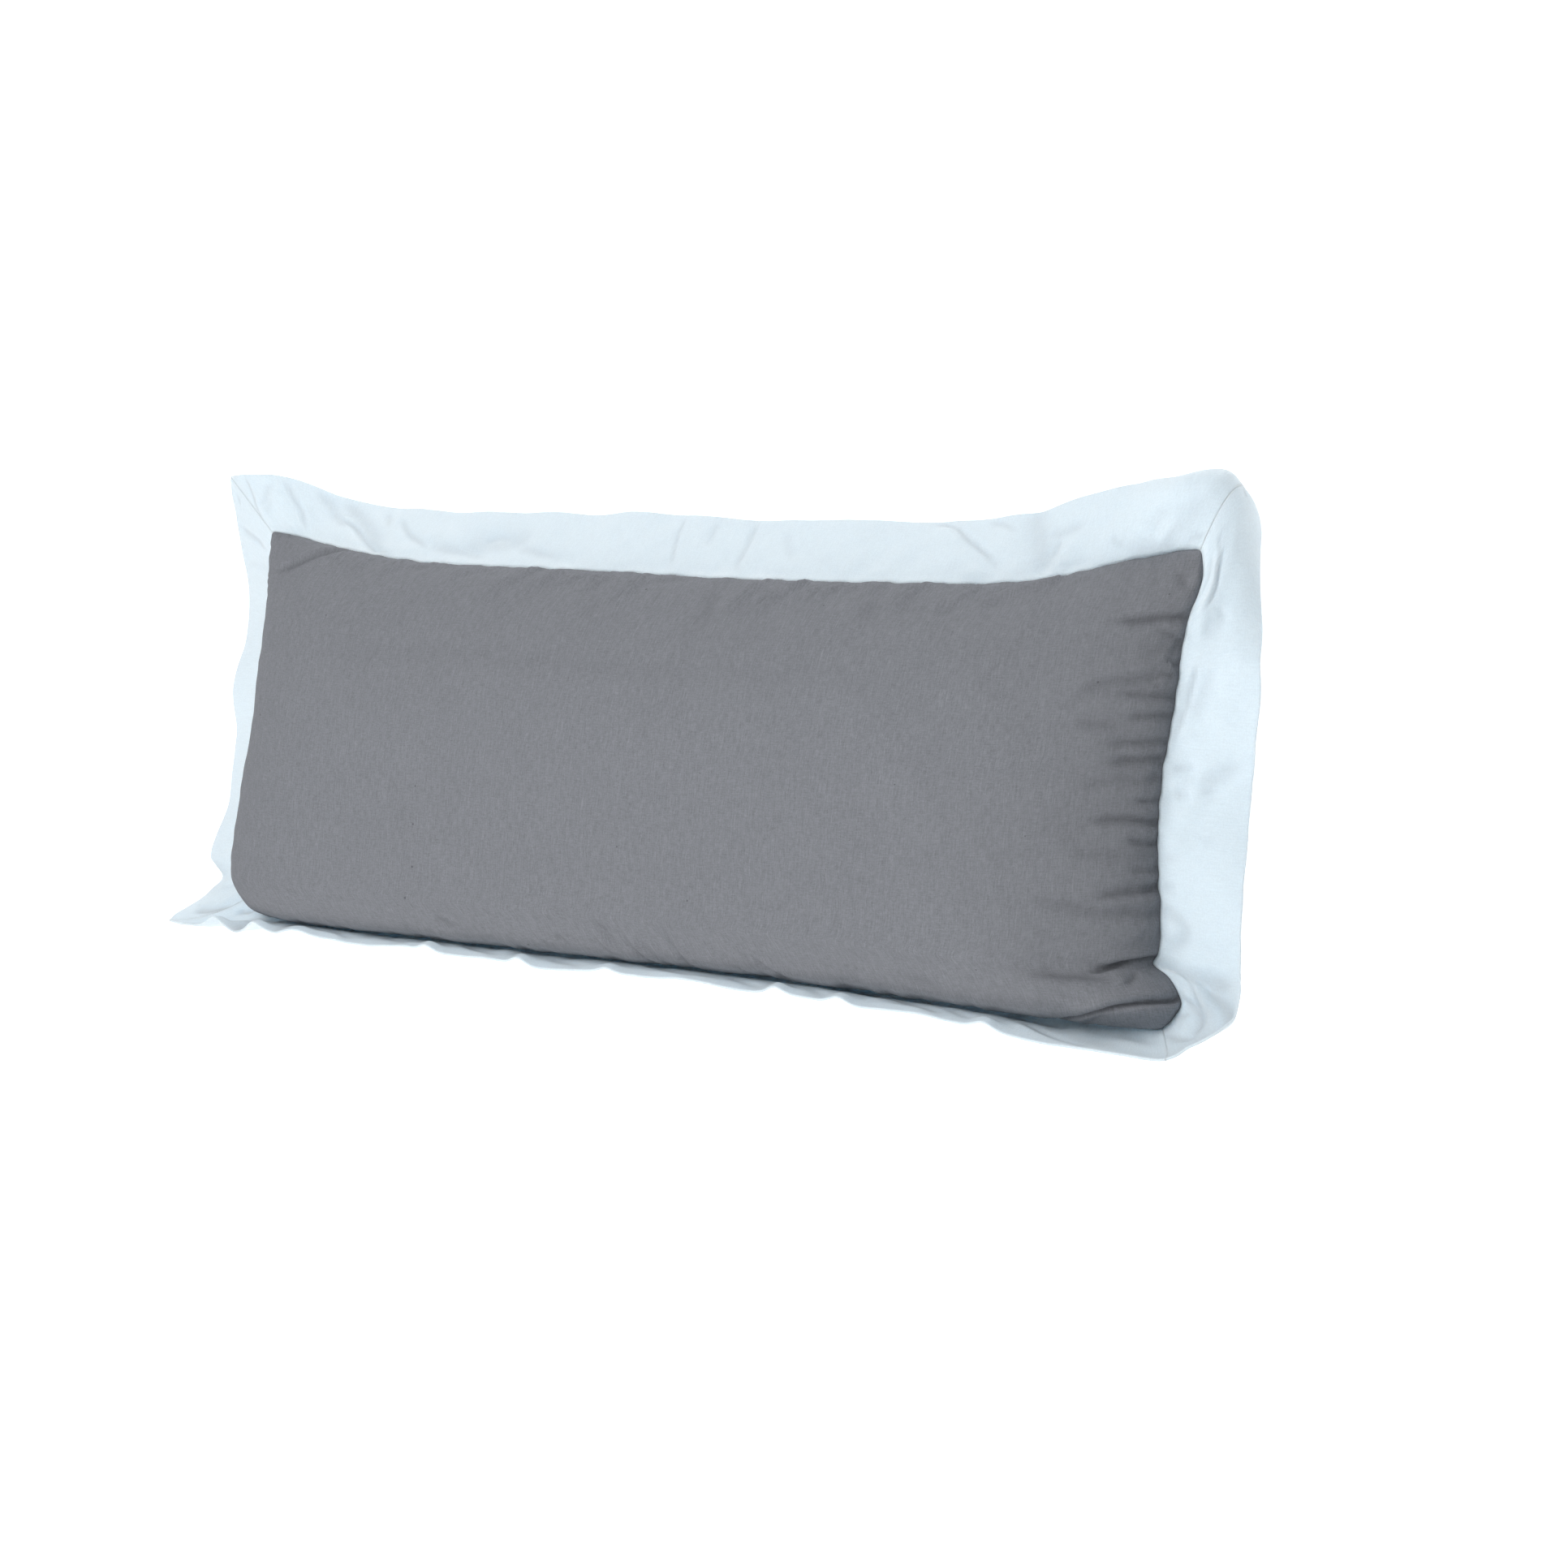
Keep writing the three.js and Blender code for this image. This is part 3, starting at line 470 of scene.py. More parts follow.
# ---- creases in the cloth ---------------------------------------------------------------
def crease(points, normals, line, half, ridge, trough, ends):
    """Height of one crease at each point, and the painted shade for its trough's colour: a soft trough, ridge or both
    along a line. It dies out over a length at each end, or runs on where that length is 0."""
    reach = 3.2 * half
    low, high = line.min(0) - reach, line.max(0) + reach
    near = np.flatnonzero(((points >= low) & (points <= high)).all(-1))
    height, shade = np.zeros(len(points)), np.zeros(len(points))
    if not len(near):
        return height, shade
    p = points[near]
    best = np.full(len(near), 1e9)
    aside, along = np.zeros(len(near)), np.zeros(len(near))
    lengths = np.linalg.norm(np.diff(line, axis=0), axis=1)
    before = np.concatenate([[0], np.cumsum(lengths)])
    lean = line[-1] - line[0]
    upright = abs(lean[1]) >= 0.45 * abs(lean[0]) if line.shape[1] == 3 else abs(lean[1]) >= 0.45 * abs(lean[0])
    for k in range(len(line) - 1):
        d = line[k + 1] - line[k]
        s = clamp01((p - line[k]) @ d / max(d @ d, 1e-9))
        r = p - line[k] - s[:, None] * d
        far = np.linalg.norm(r, axis=1)
        closer = far < best
        best = np.where(closer, far, best)
        if line.shape[1] == 3:
            across = unit(np.cross(normals[near], d))
        else:
            across = np.broadcast_to(unit(np.array([d[1], -d[0]])), p.shape)
        axis = 0 if upright else 1
        across = across * np.where(across[:, axis : axis + 1] < 0, -1, 1)
        aside = np.where(closer, np.where((r * across).sum(1) < 0, -far, far), aside)
        along = np.where(closer, before[k] + s * lengths[k], along)
    total = before[-1]
    fade = np.ones(len(near))
    if ends[0]:
        fade = fade * ease(0.25 + 0.75 * along / ends[0])
    if ends[1]:
        fade = fade * ease(0.12 + 0.88 * (total - along) / ends[1])
    narrow = half * (0.75 + 0.25 * np.sqrt(fade))
    shift = 0.7 * half if ridge and trough else 0.0
    if ridge < 0:
        aside, ridge = -aside, -ridge
    fade = fade * (best < reach)
    height[near] = (ridge * np.exp(-(((aside - shift) / narrow) ** 2)) - trough * np.exp(-(((aside + shift) / narrow) ** 2))) * fade
    # painted shade: how far the colour darkens in the trough, standing in for the shadow deep in a narrow slit
    shade[near] = trough / half * np.exp(-(((aside + shift) / (0.7 * narrow)) ** 2)) * fade
    return height, shade


def run_on(line, by=5.0):
    """A line on the panel, taken a little further at an end that lies beside the seam."""
    line = [np.array(q, float) for q in line]
    for end, inner in ((0, 1), (-1, -2)):
        if abs(line[end][0]) > HALF_LENGTH - 4 or abs(line[end][1]) > HALF_WIDTH - 9:
            line[end] = line[end] + unit(line[end] - line[inner]) * by
    return line


def smooth_line(points, step=3.0):
    """A smooth line through a few points, by centripetal-like easing between them (Catmull-Rom)."""
    p = np.array(points, float)
    if len(p) < 3:
        return p
    q = np.vstack([2 * p[0] - p[1], p, 2 * p[-1] - p[-2]])
    out = []
    for i in range(1, len(q) - 2):
        n = max(2, int(np.linalg.norm(q[i + 1] - q[i]) / step))
        for t in np.linspace(0, 1, n, endpoint=False):
            a = -0.5 * t**3 + t**2 - 0.5 * t
            b = 1.5 * t**3 - 2.5 * t**2 + 1
            c = -1.5 * t**3 + 2 * t**2 + 0.5 * t
            d = 0.5 * t**3 - 0.5 * t**2
            out.append(a * q[i - 1] + b * q[i] + c * q[i + 1] + d * q[i + 2])
    out.append(q[-2])
    return np.array(out)


def gathered(count, amount, close=()):
    """From -1 to 1 in count steps, closer together towards both ends and round each (place, width, how much)."""
    s = np.linspace(-1, 1, 4001)
    thick = 1 / (1 - amount + amount * math.pi / 2 * np.sqrt(np.maximum(0, 1 - s * s)))
    for place, width, much in close:
        thick = thick + much * np.exp(-(((s - place) / width) ** 2))
    total = np.concatenate([[0], np.cumsum((thick[1:] + thick[:-1]) / 2)])
    made = np.interp(np.linspace(0, total[-1], count + 1), total, s)
    made[count // 2] = made[count // 2] if close else 0.0
    made[0], made[-1] = -1.0, 1.0
    return made


def grid_normals(p):
    return unit(np.cross(np.gradient(p, axis=0), np.gradient(p, axis=1)))


def arc(p, axis):
    """Length along the cloth from the middle of each row."""
    d = np.linalg.norm(np.diff(p, axis=axis), axis=-1)
    total = np.concatenate([np.zeros_like(np.take(d, [0], axis)), np.cumsum(d, axis)], axis)
    return total - np.take(total, [total.shape[axis] // 2], axis)


# ---- putting things in the scene -----------------------------------------------------------
body_low, body_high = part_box("pillow_body")
SHIFT = np.array([body_low.x * 1000 + HALF_LENGTH, body_high.y * 1000 - HALF_WIDTH, BACK + RIM / 2])


def place(p):
    return (np.asarray(p, float) + SHIFT) * 0.001


def make_mesh(name, points, faces, uv, material, dark, flat=0):
    """points in millimetres, faces as lists of indices, uv per corner in metres of cloth, and how much painted
    shade each vertex's colour takes in a crease, from 0 to 1. The last flat faces are shaded flat."""
    mesh = bpy.data.meshes.new(name)
    mesh.from_pydata(place(points).tolist(), [], faces)
    layer = mesh.uv_layers.new(name="cloth")
    layer.uv.foreach_set("vector", np.asarray(uv, np.float32).ravel())
    smooth = np.ones(len(mesh.polygons), bool)
    smooth[len(smooth) - flat :] = False
    mesh.polygons.foreach_set("use_smooth", smooth)
    # painted shade in the creases, kept on each vertex for the material to darken the colour with
    painted_fold_shade = mesh.attributes.new("painted_fold_shade", "FLOAT", "POINT")
    painted_fold_shade.data.foreach_set("value", np.asarray(clamp01(dark), np.float32))
    mesh.materials.append(material)
    mesh.update()
    assert not mesh.validate(), name
    made = bpy.data.objects.new(name, mesh)
    bpy.context.scene.collection.objects.link(made)
    return made


def build_body(material):
    nx, ny = BODY_CELLS
    gx, gy = gathered(nx, BODY_GATHER, ((0.95, 0.1, 0.6),)), gathered(ny, BODY_GATHER, ((-0.77, 0.14, 0.9), (1, 0.2, 0.3)))
    x, y = np.meshgrid(gx, gy, indexing="ij")
    p = face(x, y)
    n = grid_normals(p)
    flat, out = p.reshape(-1, 3), n.reshape(-1, 3)
    # dark gathers the painted shade of the creases, which darkens the colour in their troughs
    rise, dark = np.zeros(len(flat)), np.zeros(len(flat))
    for half, ridge, trough, *line in FACE_CREASES:
        line = smooth_line(run_on(line))
        where = face(np.clip(line[:, 0] / HALF_LENGTH, -1, 1), np.clip(line[:, 1] / HALF_WIDTH, -1, 1))
        total = np.linalg.norm(np.diff(where, axis=0), axis=1).sum()
        sewn_in = [abs(q[0]) > HALF_LENGTH - 4 or abs(q[1]) > HALF_WIDTH - 9 for q in (line[0], line[-1])]
        height, shade = crease(flat, out, where, half, ridge, trough, (0 if sewn_in[0] else 0.3 * total, 0 if sewn_in[1] else 0.4 * total))
        rise += height
        dark = np.maximum(dark, shade)
    u, v = arc(p, 0), arc(p, 1)
    away = np.minimum.reduce([u - u[:1], u[-1:] - u, v - v[:, :1], v[:, -1:] - v])
    rise = rise.reshape(x.shape)
    rise += 0.55 * bumps(u, v, 55, 170, 3) * ease(away / 60) + 0.16 * bumps(u, v, 16, 42, 4) * ease(away / 25)
    near = np.exp(-((away / 26) ** 2))
    rise += 0.42 * near * bumps(u, v, 9, 24, 5)
    # a ridge that starts at the upper or lower seam rises slowly, so that the seam's line stays clean
    clean = ease((v[:, -1:] - v) / 20.0) * ease((v - v[:, :1]) / 16.0)
    # nothing stands out of the underside, where the lower strip lies close below it
    clean = clean * ease((n[..., 1] + 0.97) / 0.5)
    p = p + n * (np.where(rise > 0, rise * clean, rise) * ease(away / 6.0))[..., None]

    bx, by = gx[::2], gy[::2]
    xb, yb = np.meshgrid(bx, by, indexing="ij")
    q = back(xb, yb)
    m = -grid_normals(q)
    ub, vb = arc(q, 0), arc(q, 1)
    away_b = np.minimum.reduce([ub - ub[:1], ub[-1:] - ub, vb - vb[:, :1], vb[:, -1:] - vb])
    # the back's gathers lay painted shade into the colour the same way
    rise_b, painted_shade_back = np.zeros(q.shape[0] * q.shape[1]), np.zeros(q.shape[0] * q.shape[1])
    rng = np.random.default_rng(21)
    around = 2 * (HALF_LENGTH + HALF_WIDTH) * 2
    for k in range(BACK_GATHERS["count"]):
        s = (k + rng.uniform(0.15, 0.85)) / BACK_GATHERS["count"] * around
        deep = rng.uniform(*BACK_GATHERS["reach"])
        slant = rng.uniform(-0.55, 0.55) * deep
        if s < 2 * HALF_LENGTH:
            line = [(s - HALF_LENGTH, HALF_WIDTH), (s - HALF_LENGTH + slant, HALF_WIDTH - deep)]
        elif s < 4 * HALF_LENGTH:
            s -= 2 * HALF_LENGTH
            line = [(s - HALF_LENGTH, -HALF_WIDTH), (s - HALF_LENGTH + slant, -HALF_WIDTH + deep)]
        elif s < 4 * HALF_LENGTH + 2 * HALF_WIDTH:
            s -= 4 * HALF_LENGTH
            line = [(HALF_LENGTH, s - HALF_WIDTH), (HALF_LENGTH - deep, s - HALF_WIDTH + slant)]
        else:
            s -= 4 * HALF_LENGTH + 2 * HALF_WIDTH
            line = [(-HALF_LENGTH, s - HALF_WIDTH), (-HALF_LENGTH + deep, s - HALF_WIDTH + slant)]
        line = smooth_line([line[0], ((line[0][0] + line[1][0]) / 2 + rng.uniform(-2, 2), (line[0][1] + line[1][1]) / 2), line[1]])
        where = back(np.clip(line[:, 0] / HALF_LENGTH, -1, 1), np.clip(line[:, 1] / HALF_WIDTH, -1, 1))
        total = np.linalg.norm(np.diff(where, axis=0), axis=1).sum()
        height, shade = crease(
            q.reshape(-1, 3), m.reshape(-1, 3), where, rng.uniform(*BACK_GATHERS["half"]),
            rng.choice([0.0, 0.8]), rng.uniform(*BACK_GATHERS["deep"]), (0.2 * total, 0.6 * total),
        )
        rise_b += height
        painted_shade_back = np.maximum(painted_shade_back, shade)
    rise_b = rise_b.reshape(xb.shape) + 0.3 * bumps(ub, vb, 16, 42, 6)
    resting = clamp01((q[..., 2] + BACK + RIM / 2) / 6)  # nothing swells where it lies on the floor
    q = q + m * (np.where(rise_b > 0, rise_b * resting, rise_b) * ease(away_b / 5.0))[..., None]
    q[..., 2] = np.maximum(q[..., 2], -BACK - RIM / 2)

    index = np.arange((nx + 1) * (ny + 1)).reshape(nx + 1, ny + 1)
    a, b, c, d = index[:-1, :-1], index[1:, :-1], index[1:, 1:], index[:-1, 1:]
    faces = np.stack([a, b, c, d], -1).reshape(-1, 4).tolist()
    uv_face = np.stack([u, v], -1).reshape(-1, 2) * 0.001
    corner_uv = [uv_face[np.array(faces).ravel()]]

    # The back has its own rows; its outermost cells take in every vertex of the front's edge.
    base = len(flat)
    index_b = base + np.arange(q.shape[0] * q.shape[1]).reshape(q.shape[:2])
    points = np.concatenate([p.reshape(-1, 3), q.reshape(-1, 3)])
    uv_all = np.concatenate([uv_face, np.stack([ub, vb], -1).reshape(-1, 2) * 0.001 + 2.0])
    mb, nb = nx // 2, ny // 2
    uv_back = []

    def ring(i, j):  # the back's own vertex, or the front's where they meet at the seam
        if i in (0, mb) or j in (0, nb):
            return int(index[2 * i, 2 * j])
        return int(index_b[i, j])

    for i in range(mb):
        for j in range(nb):
            loop = [(i, j), (i, j + 1), (i + 1, j + 1), (i + 1, j)]
            ids, at = [], []
            for k in range(4):
                (i0, j0), (i1, j1) = loop[k], loop[(k + 1) % 4]
                ids.append(ring(i0, j0))
                at.append((i0, j0))
                if (i0 == i1 and i0 in (0, mb)) or (j0 == j1 and j0 in (0, nb)):
                    ids.append(int(index[i0 + i1, j0 + j1]))
                    at.append(((i0 + i1) / 2, (j0 + j1) / 2))
            faces.append(ids)
            for i0, j0 in at:
                lo = uv_all[index_b[int(math.floor(i0)), int(math.floor(j0))]]
                hi = uv_all[index_b[int(math.ceil(i0)), int(math.ceil(j0))]]
                uv_back.append((lo + hi) / 2)
    corner_uv.append(np.array(uv_back))

    # Drop the back grid's unused outer vertices.
    used = np.zeros(len(points), bool)
    for f in faces:
        used[f] = True
    new = np.cumsum(used) - 1
    faces = [[int(new[i]) for i in f] for f in faces]
    dark = np.concatenate([dark, painted_shade_back])[used]
    return make_mesh("pillow_cloth", points[used], faces, np.concatenate(corner_uv), material, dark)


def stations(name):
    half = SIDES[name]["half"] - TOUCH
    ends = np.arange(0, min(STRIP_FINE_OVER, half), STRIP_FINE)
    inner = half - ends[-1]
    count = max(2, int(round(2 * inner / STRIP_STEP)))
    middle_part = np.linspace(-inner, inner, count + 1)
    return np.unique(np.round(np.concatenate([-half + ends, middle_part, half - ends]), 6))


def build_strip(name, material):
    s = SIDES[name]
    at = stations(name)
    t = TOUCH / FLANGE + (1 - TOUCH / FLANGE) * np.linspace(0, 1, STRIP_ACROSS + 1) ** 0.92
    a, r = np.meshgrid(at, t, indexing="ij")
    p, n = middle(name, a, r), normal_of(name, a, r)
    spot = np.stack([a, r * FLANGE], -1).reshape(-1, 2)
    # dark gathers the painted shade of the strip's creases for its colour
    rise, dark = np.zeros(len(spot)), np.zeros(len(spot))
    for half, ridge, trough, *line in STRIP_CREASES[name]:
        line = smooth_line(line)
        total = np.linalg.norm(np.diff(line, axis=0), axis=1).sum()
        ends = (0, 0) if half >= 8 and len(line) == 2 else (0.2 * total, 0.3 * total)
        height, shade = crease(spot, None, line, half, ridge, trough, ends)
        rise += height
        dark = np.maximum(dark, shade)
    rise = rise.reshape(a.shape)
    seed = SIDE_SEED[name]
    reach = r * FLANGE
    rise += (0.6 + 0.95 * r**2) * bumps(a, reach * 0.4, 70, 170, seed + 20)
    rise += 0.6 * (1 - 0.75 * ease(r * 1.2 - 0.2)) * bumps(a, reach, 22, 55, seed + 40)
    rise += 0.3 * np.exp(-((reach / 10) ** 2)) * bumps(a, reach * 0.3, 8, 20, seed + 60)
    if name == "bottom":  # it keeps clear of the body above it
        under = ease((57 - reach) / 8)
        rise = np.where(rise > 0, rise * (1 - 0.95 * under), rise) - 0.5 * ease(reach / 20) * under
    free = ease((s["half"] - np.abs(a)) / SQUARE) * ease(reach / 9)
    for k, corner in enumerate(s["ends"]):
        towards = -1 if k == 0 else 1
        level = normal_of(name, np.full_like(a, towards * s["half"]), r)
        beside = s["half"] - towards * a
        off = ((p - mitre(corner, r)) * level).sum(-1) * np.exp(-((beside / MITRE_SMOOTH[corner]) ** 2)) * ease(reach / 12)
        p = p - level * off[..., None]
    # a low roll where the turned edge lies beside the stitching, and the dip of each mitre's seam
    roll = 0.55 * np.exp(-(((reach - 2.6) / 1.5) ** 2)) - 0.25 * np.exp(-(((reach - 6.0) / 2.2) ** 2))
    close = s["half"] - np.abs(a)
    deep = np.where(a < 0, MITRE_DIP[s["ends"][0]], MITRE_DIP[s["ends"][1]])
    dip = -deep * np.exp(-((close / 1.8) ** 2)) * ease(reach / 6)
    p = p + n * (rise * free + roll * ease(close / 8) + dip)[..., None]

    # Two layers with a turned outer edge.
    sewn = ease(reach / ROOT_OVER)
    up = np.zeros_like(n)
    up[..., 2] = 1
    n = unit(n * sewn[..., None] + up * (1 - sewn)[..., None])
    half_thick = CLOTH / 2 * (ROOT_SHARE + (1 - ROOT_SHARE) * sewn)
    outward = unit(p[:, -1] - p[:, -2])
    around = np.radians([70, 45, 20, -20, -45, -70])
    radius = CLOTH / 2
    centre = p[:, -1] - outward * radius
    keep = np.cumsum(np.ones(len(t))) - 1 < len(t)
    inner = reach[0] <= FLANGE - radius
    front = (p + n * half_thick[..., None])[:, inner]
    rear = (p - n * half_thick[..., None])[:, inner]
    edge = np.stack([centre + radius * (math.cos(f) * outward + math.sin(f) * n[:, -1]) for f in around], 1)
    loop = np.concatenate([front, edge, rear[:, ::-1]], 1)
    count, size = loop.shape[:2]
    dark = dark.reshape(a.shape)
    # painted shade: the turned edge takes the last row's, the rear layer a third of the front's
    dark = np.concatenate([dark[:, inner], np.repeat(dark[:, -1:], len(around), 1), 0.3 * dark[:, inner][:, ::-1]], 1)
    far = np.concatenate([reach[0][inner], FLANGE - radius + radius * np.cos(around), (2 * FLANGE - reach[0][inner])[::-1]])
    index = np.arange(count * size).reshape(count, size)
    faces, uv = [], []
    along_cloth = at * 0.001
    flip = hand(name) < 0
    for k in range(size):
        k2 = (k + 1) % size
        v0, v1 = far[k] * 0.001, (far[k2] if k2 else far[k] + 0.9) * 0.001
        quad = np.stack([index[:-1, k], index[1:, k], index[1:, k2], index[:-1, k2]], -1)
        where = np.stack([
            np.stack([along_cloth[:-1], np.full(count - 1, v0)], -1), np.stack([along_cloth[1:], np.full(count - 1, v0)], -1),
            np.stack([along_cloth[1:], np.full(count - 1, v1)], -1), np.stack([along_cloth[:-1], np.full(count - 1, v1)], -1),
        ], 1)
        if flip:
            quad, where = quad[:, ::-1], where[:, ::-1]
        faces += quad.tolist()
        uv.append(where.reshape(-1, 2))
    for end in (0, count - 1):
        for k in range(size // 2 - 1):
            quad = [int(index[end, k]), int(index[end, k + 1]), int(index[end, size - 2 - k]), int(index[end, size - 1 - k])]
            here = [(far[k], 0), (far[k + 1], 0), (far[k + 1], 2), (far[k], 2)]
            if (end == 0) == flip:
                quad, here = quad[::-1], here[::-1]
            faces.append(quad)
            uv.append(np.array(here, float) * 0.001)
    return make_mesh("border_" + name, loop.reshape(-1, 3), faces, np.concatenate(uv), material, dark.ravel(), 2 * (size // 2 - 1))


# ---- materials -------------------------------------------------------------------------------
class Nodes:
    """A short way to write a material's nodes."""

    def __init__(self, name):
        self.material = bpy.data.materials.new(name)
        self.material.use_nodes = True
        self.tree = self.material.node_tree
        self.tree.nodes.clear()

    def add(self, kind, **values):
        node = self.tree.nodes.new(kind)
        for key, value in values.items():
            setattr(node, key, value)
        return node

    def link(self, a, b):
        self.tree.links.new(a, b)

    def put(self, value, socket):
        if isinstance(value, bpy.types.NodeSocket):
            self.link(value, socket)
        else:
            socket.default_value = value

    def math(self, operation, a, b=0.0, c=0.0, clamp=False):
        node = self.add("ShaderNodeMath", operation=operation, use_clamp=clamp)
        for value, socket in zip((a, b, c), node.inputs):
            self.put(value, socket)
        return node.outputs[0]

    def noise(self, vector, scale, detail=2.0, rough=0.5, kind="2D"):
        node = self.add("ShaderNodeTexNoise", noise_dimensions=kind)
        self.link(vector, node.inputs["Vector"])
        node.inputs["Scale"].default_value = scale
        node.inputs["Detail"].default_value = detail
        node.inputs["Roughness"].default_value = rough
        return node.outputs["Fac"]

    def stretched(self, u, v, su, sv):
        node = self.add("ShaderNodeCombineXYZ")
        self.link(self.math("MULTIPLY", u, su), node.inputs[0])
        self.link(self.math("MULTIPLY", v, sv), node.inputs[1])
        return node.outputs[0]

    def spread(self, value, low, high, to_low, to_high):
        node = self.add("ShaderNodeMapRange")
        self.link(value, node.inputs["Value"])
        for key, x in zip(("From Min", "From Max", "To Min", "To Max"), (low, high, to_low, to_high)):
            node.inputs[key].default_value = x
        return node.outputs[0]

    def mix(self, factor, a, b, blend="MIX"):
        node = self.add("ShaderNodeMix", data_type="RGBA", blend_type=blend)
        self.put(factor, node.inputs["Factor"])
        for value, socket in ((a, node.inputs[6]), (b, node.inputs[7])):
            self.put((*value, 1.0) if isinstance(value, tuple) else value, socket)
        return node.outputs[2]


def tint(colour, by):
    return tuple(c * by for c in colour)


def cloth_material(name, colour, dark, light, pitch, streak, grained, rough, sheen, specks, painted_fold_strength, through):
    """Plain weave: threads both ways, uneven yarn, a few neps, and painted shade in the creases."""
    k = Nodes(name)
    uv = k.add("ShaderNodeUVMap", uv_map="cloth")
    split = k.add("ShaderNodeSeparateXYZ")
    k.link(uv.outputs[0], split.inputs[0])
    u, v = split.outputs[0], split.outputs[1]
    # yarns of uneven thickness: long thin streaks along each set of threads
    across = k.noise(k.stretched(u, v, 1 / 0.0009, 1 / 0.008), 1.0, 2.0, 0.55)
    alongs = k.noise(k.stretched(u, v, 1 / 0.007, 1 / 0.0009), 1.0, 2.0, 0.55)
    slubs = k.noise(k.stretched(u, v, 1 / 0.0016, 1 / 0.024), 1.0, 1.0, 0.5)
    grain = k.noise(k.stretched(u, v, 1 / 0.0012, 1 / 0.0012), 1.0, 2.0, 0.6)
    lumps = k.noise(k.stretched(u, v, 1 / 0.0045, 1 / 0.0045), 1.0, 2.0, 0.6)
    threads = k.noise(k.stretched(u, v, 1 / 0.0011, 1 / 0.03), 1.0, 1.0, 0.5)
    patches = k.noise(k.stretched(u, v, 1 / 0.045, 1 / 0.045), 1.0, 3.0, 0.6)
    tone = k.math("ADD", k.spread(across, 0.3, 0.7, -streak, streak), k.spread(alongs, 0.3, 0.7, -0.8 * streak, 0.8 * streak))
    tone = k.math("ADD", tone, k.spread(slubs, 0.35, 0.75, -0.4 * streak, 0.4 * streak))
    tone = k.math("ADD", tone, k.spread(grain, 0.25, 0.75, -grained * streak, grained * streak))
    tone = k.math("ADD", tone, k.spread(lumps, 0.3, 0.7, -0.35 * streak, 0.35 * streak))
    tone = k.math("ADD", tone, k.spread(patches, 0.3, 0.7, -0.15 * streak, 0.15 * streak))
    tone = k.math("ADD", tone, k.math("MULTIPLY", k.math("MAXIMUM", k.math("SUBTRACT", threads, 0.62), 0.0), 7.0 * streak))
    tone = k.math("ADD", tone, 0.5, clamp=True)
    shade = k.mix(tone, dark, light)
    if specks:
        spots = k.add("ShaderNodeTexVoronoi", voronoi_dimensions="2D", feature="F1")
        k.link(k.stretched(u, v, 1.0, 1.0), spots.inputs["Vector"])
        spots.inputs["Scale"].default_value = 1 / 0.034
        chosen = k.add("ShaderNodeSeparateColor")
        k.link(spots.outputs["Color"], chosen.inputs[0])
        small = k.math("LESS_THAN", spots.outputs["Distance"], k.math("MULTIPLY", chosen.outputs[1], 0.032))
        rare = k.math("LESS_THAN", chosen.outputs[0], 0.16)
        shade = k.mix(k.math("MULTIPLY", k.math("MULTIPLY", small, rare), 0.55), shade, specks)
    # painted shade: the colour darkens towards a quarter of itself where a vertex lies deep in a crease, standing in
    # for the shadow there
    deep = k.add("ShaderNodeAttribute", attribute_name="painted_fold_shade").outputs["Fac"]
    shade = k.mix(k.math("MULTIPLY", deep, painted_fold_strength), shade, tint(colour, 0.25))
    # the weave itself
    warp = k.math("SINE", k.math("MULTIPLY", u, math.pi / pitch))
    weft = k.math("SINE", k.math("MULTIPLY", v, math.pi / pitch))
    over = k.math("MULTIPLY", warp, weft)
    ribs = k.math("ADD", k.math("ABSOLUTE", warp), k.math("ABSOLUTE", weft))
    weave = k.math("ADD", k.math("MULTIPLY", over, 0.5), k.math("MULTIPLY", ribs, 0.5))
    bump = k.add("ShaderNodeBump")
    bump.inputs["Strength"].default_value = 0.35
    bump.inputs["Distance"].default_value = 0.00022
    k.link(weave, bump.inputs["Height"])
    yarn = k.math("ADD", across, k.math("ADD", alongs, k.math("MULTIPLY", slubs, 0.8)))
    bump2 = k.add("ShaderNodeBump")
    bump2.inputs["Strength"].default_value = 0.5
    bump2.inputs["Distance"].default_value = 0.00035
    k.link(yarn, bump2.inputs["Height"])
    k.link(bump.outputs[0], bump2.inputs["Normal"])
    shader = k.add("ShaderNodeBsdfPrincipled")
    k.link(shade, shader.inputs["Base Color"])
    k.link(bump2.outputs[0], shader.inputs["Normal"])
    k.link(k.spread(grain, 0.2, 0.8, rough - 0.05, min(1.0, rough + 0.05)), shader.inputs["Roughness"])
    shader.inputs["Specular IOR Level"].default_value = 0.18
    shader.inputs["Subsurface Weight"].default_value = through
    shader.inputs["Subsurface Radius"].default_value = (1.0, 1.0, 1.0)
    shader.inputs["Subsurface Scale"].default_value = 0.0014
    shader.inputs["Sheen Weight"].default_value = sheen
    shader.inputs["Sheen Roughness"].default_value = 0.55
    shader.inputs["Sheen Tint"].default_value = (*[min(1.0, c * 1.3) for c in colour], 1.0)
    out = k.add("ShaderNodeOutputMaterial")
    k.link(shader.outputs[0], out.inputs["Surface"])
    k.material.diffuse_color = (*colour, 1.0)
    return k.material


GREY, WHITE = (0.209, 0.218, 0.239), (0.742, 0.834, 0.894)
# after the specks: how strongly the painted crease shade darkens the cloth, then how much light passes through it
grey = cloth_material(
    "panel_cloth", GREY, tint(GREY, 0.7), tint(GREY, 1.3), 0.00062, 0.137, 1.3, 0.92, 0.05, (0.05, 0.05, 0.06), 0.45, 0.0
)
white = cloth_material(
    "border_cloth", WHITE, tint(WHITE, 0.955), tint(WHITE, 1.045), 0.00055, 0.15, 2.4, 0.9, 0.05, None, 0.34, 0.6
)

